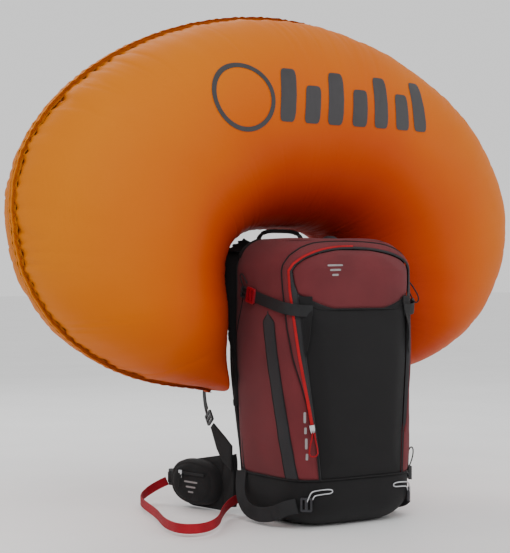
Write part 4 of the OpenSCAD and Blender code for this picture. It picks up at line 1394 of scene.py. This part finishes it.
def make_cover_flap(side):
    """Burst airbag cover: cloth that stands away from the bag's rear edge, its own edge toothed."""
    outer = []
    levels = spread(wall_h(215), 1.66, 100)
    for i, h in enumerate(levels):
        grow = smooth((i - 14) / 30) * (1 - 0.2 * smooth((i - 88) / 11)) + 0.42 * dip(h - 1.22, 0.22)
        root = bag(149 if h < 1 else mix(149, 118, smooth((h - 1) / 0.62)), h, 0.5)
        flow = Vector((root.x * 0.16, 60, 46 * max(0.0, h - 1) - 6)).normalized()
        reach = (13 + 28 * grow) * (1 + 0.05 * math.sin(i * 0.9)) + 2.6 * (i % 6 < 3)
        row = []
        for t in spread(0, 1, 12):
            place = root + flow * (reach * t)
            place.x *= 1 + 0.025 * math.sin(3 * t)
            place.x += 3.0 * noise.noise(Vector((h * 9, t * 2, 3))) * t
            place.x *= -side if root.x < 0 else side
            row.append(place * MM)
        outer.append(row)
    outer = facing_out(outer, BAG_MIDDLE)
    name = SIDE_NAMES[side]
    piece(f"cover_flap_{name}", *thick_grid(outer, 1.8 * MM), BLACK, slot="black_fabric")


def make_hook(side):
    """Bent wire hook that clips the ski strap on."""
    points = [(121, -123.5, 52), (119, -126, 60), (114, -129, 70), (98, -132.5, 73), (78, -135, 73),
              (72, -135.5, 69.5), (77, -135.3, 66), (94, -133.5, 65), (108, -130.5, 63), (113, -128.5, 56)]
    name = SIDE_NAMES[side]
    cord_piece(f"ski_wire_{name}", [(side * x, y, z) for x, y, z in points], 2.6, SATIN, 90,
               body=f"ski_hook_{name}", slot="hook_aluminium")


def make_marks(skin, pocket_skin):
    """Plain bars where printed marks would be: on the dome, down the side gusset and on the pocket."""
    centre = bag(263, 1.08, 0) * MM
    for k, width in enumerate((34, 24, 14)):
        decal(f"dome_bar_{k}", skin, centre - Vector((0, 0, 9 * k * MM)), (0.99, 0, 0), (0, 0.2, 1),
              bar(width, 3.6), (0, -0.92, 0.4), PALE_PRINT, lift=0.5)
    for k, tall in enumerate((20, 12, 20, 12)):
        place = bag(229.3, wall_h(206 - 24 * k), 0) * MM
        outward = facing_bag(place, 0)
        decal(f"gusset_bar_{k}", skin, place, outward.cross(Vector((0, 0, -1))), (0, 0, 1),
              bar(4.5, tall), outward, PALE_PRINT, lift=0.5)
    out = wing_place(-1, 0, 0) - wing_place(0, 0, 0)
    along = wing_place(0, -1, 0) - wing_place(0, 0, 0)
    for k, width in enumerate((40, 28, 16)):
        decal(f"pocket_bar_{k}", pocket_skin, wing_place(-30, 96, 54 - 10 * k), along, (0, 0, 1),
              bar(width, 3.6), out, PALE_PRINT, body="wing_left", lift=0.5)


# ---- finishes of the CAD parts that keep their shape ----

# every CAD node that keeps its own shape, under the material it takes
NODE_FINISH = (
    (GREY, ("divider_panel",)),
    (BLACK_PLASTIC, ("strap_adjuster_left", "strap_adjuster_right", "blower_housing", "inlet_grille",
                     "trigger_cable", "impeller", "trigger_socket", "sternum_left", "sternum_right",
                     "hip_buckle_male", "hip_buckle_female")),
    (GREY_PLASTIC, ("outlet_duct", "electronics_case", "battery_door")),
    (RED_PLASTIC, ("power_button", "trigger_handle", "side_buckle_left", "side_buckle_right")),
    (SATIN, ("frame_wire", "pocket_slider", "front_slider")),
    (DARK_METAL, ("ski_hook_left", "ski_hook_right")),
    (STEEL, ("blower_motor", "batteries")),
    (SLEEVE, ("supercapacitors",)),
    (BOARD, ("circuit_board",)),
    (VALVE, ("check_valve",)),
    (RED_CORD, ("front_puller",)),
)


def paint_nodes():
    for material, names in NODE_FINISH:
        for name in names:
            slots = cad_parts[name].data.materials
            slots.clear()
            slots.append(material)


def make_stage():
    """A plain pale floor that meets the background."""
    half, level = 30, -0.0005
    corners = [(x * half, y * half, level) for x, y in ((-1, -1), (1, -1), (1, 1), (-1, 1))]
    mesh = bpy.data.meshes.new("floor")
    mesh.from_pydata(corners, [], [(0, 1, 2, 3)])
    paint = Paint("floor", 0.6)
    paint.colour(paint.ramp(paint.noise(3), [(0.3, (0.86, 0.86, 0.86)), (0.7, (0.9, 0.9, 0.9))]))
    mesh.materials.append(paint.material)
    add_object("floor", mesh)


make_camera()
make_leg_strap()
main_shell = make_main_shell()
front_panel = make_front_panel()
dome = make_dome()
boot = make_boot()
make_zip()
bag_skin = Skin(main_shell, front_panel, dome, boot)
for side in SIDE_NAMES:
    make_bands(bag_skin, side)
    make_side_strap(side)
    make_ski_loop(side)
    make_shoulder_strap(side)
    make_wing(side)
    make_stabiliser(side)
    make_cover_flap(side)
    make_hook(side)
balloon_halves = make_balloon()
make_print(Skin(balloon_halves[0]))
make_back()
make_yoke()
make_duct_collar()
for side in SIDE_NAMES:
    make_anchor_tab(side)
make_handle()
pouch = make_pocket()
make_details(bag_skin)
make_marks(bag_skin, Skin(pouch))
paint_nodes()
make_stage()
make_light("key", (-1.6, -2.4, 3.0), (0, 0, 0.5), 2.2, 46)
make_light("fill", (2.4, -2.0, 1.4), (0, 0, 0.5), 2.4, 16)
make_light("back", (0.2, 2.4, 2.4), (0, 0, 0.7), 2.0, 30)
make_world(1.0)
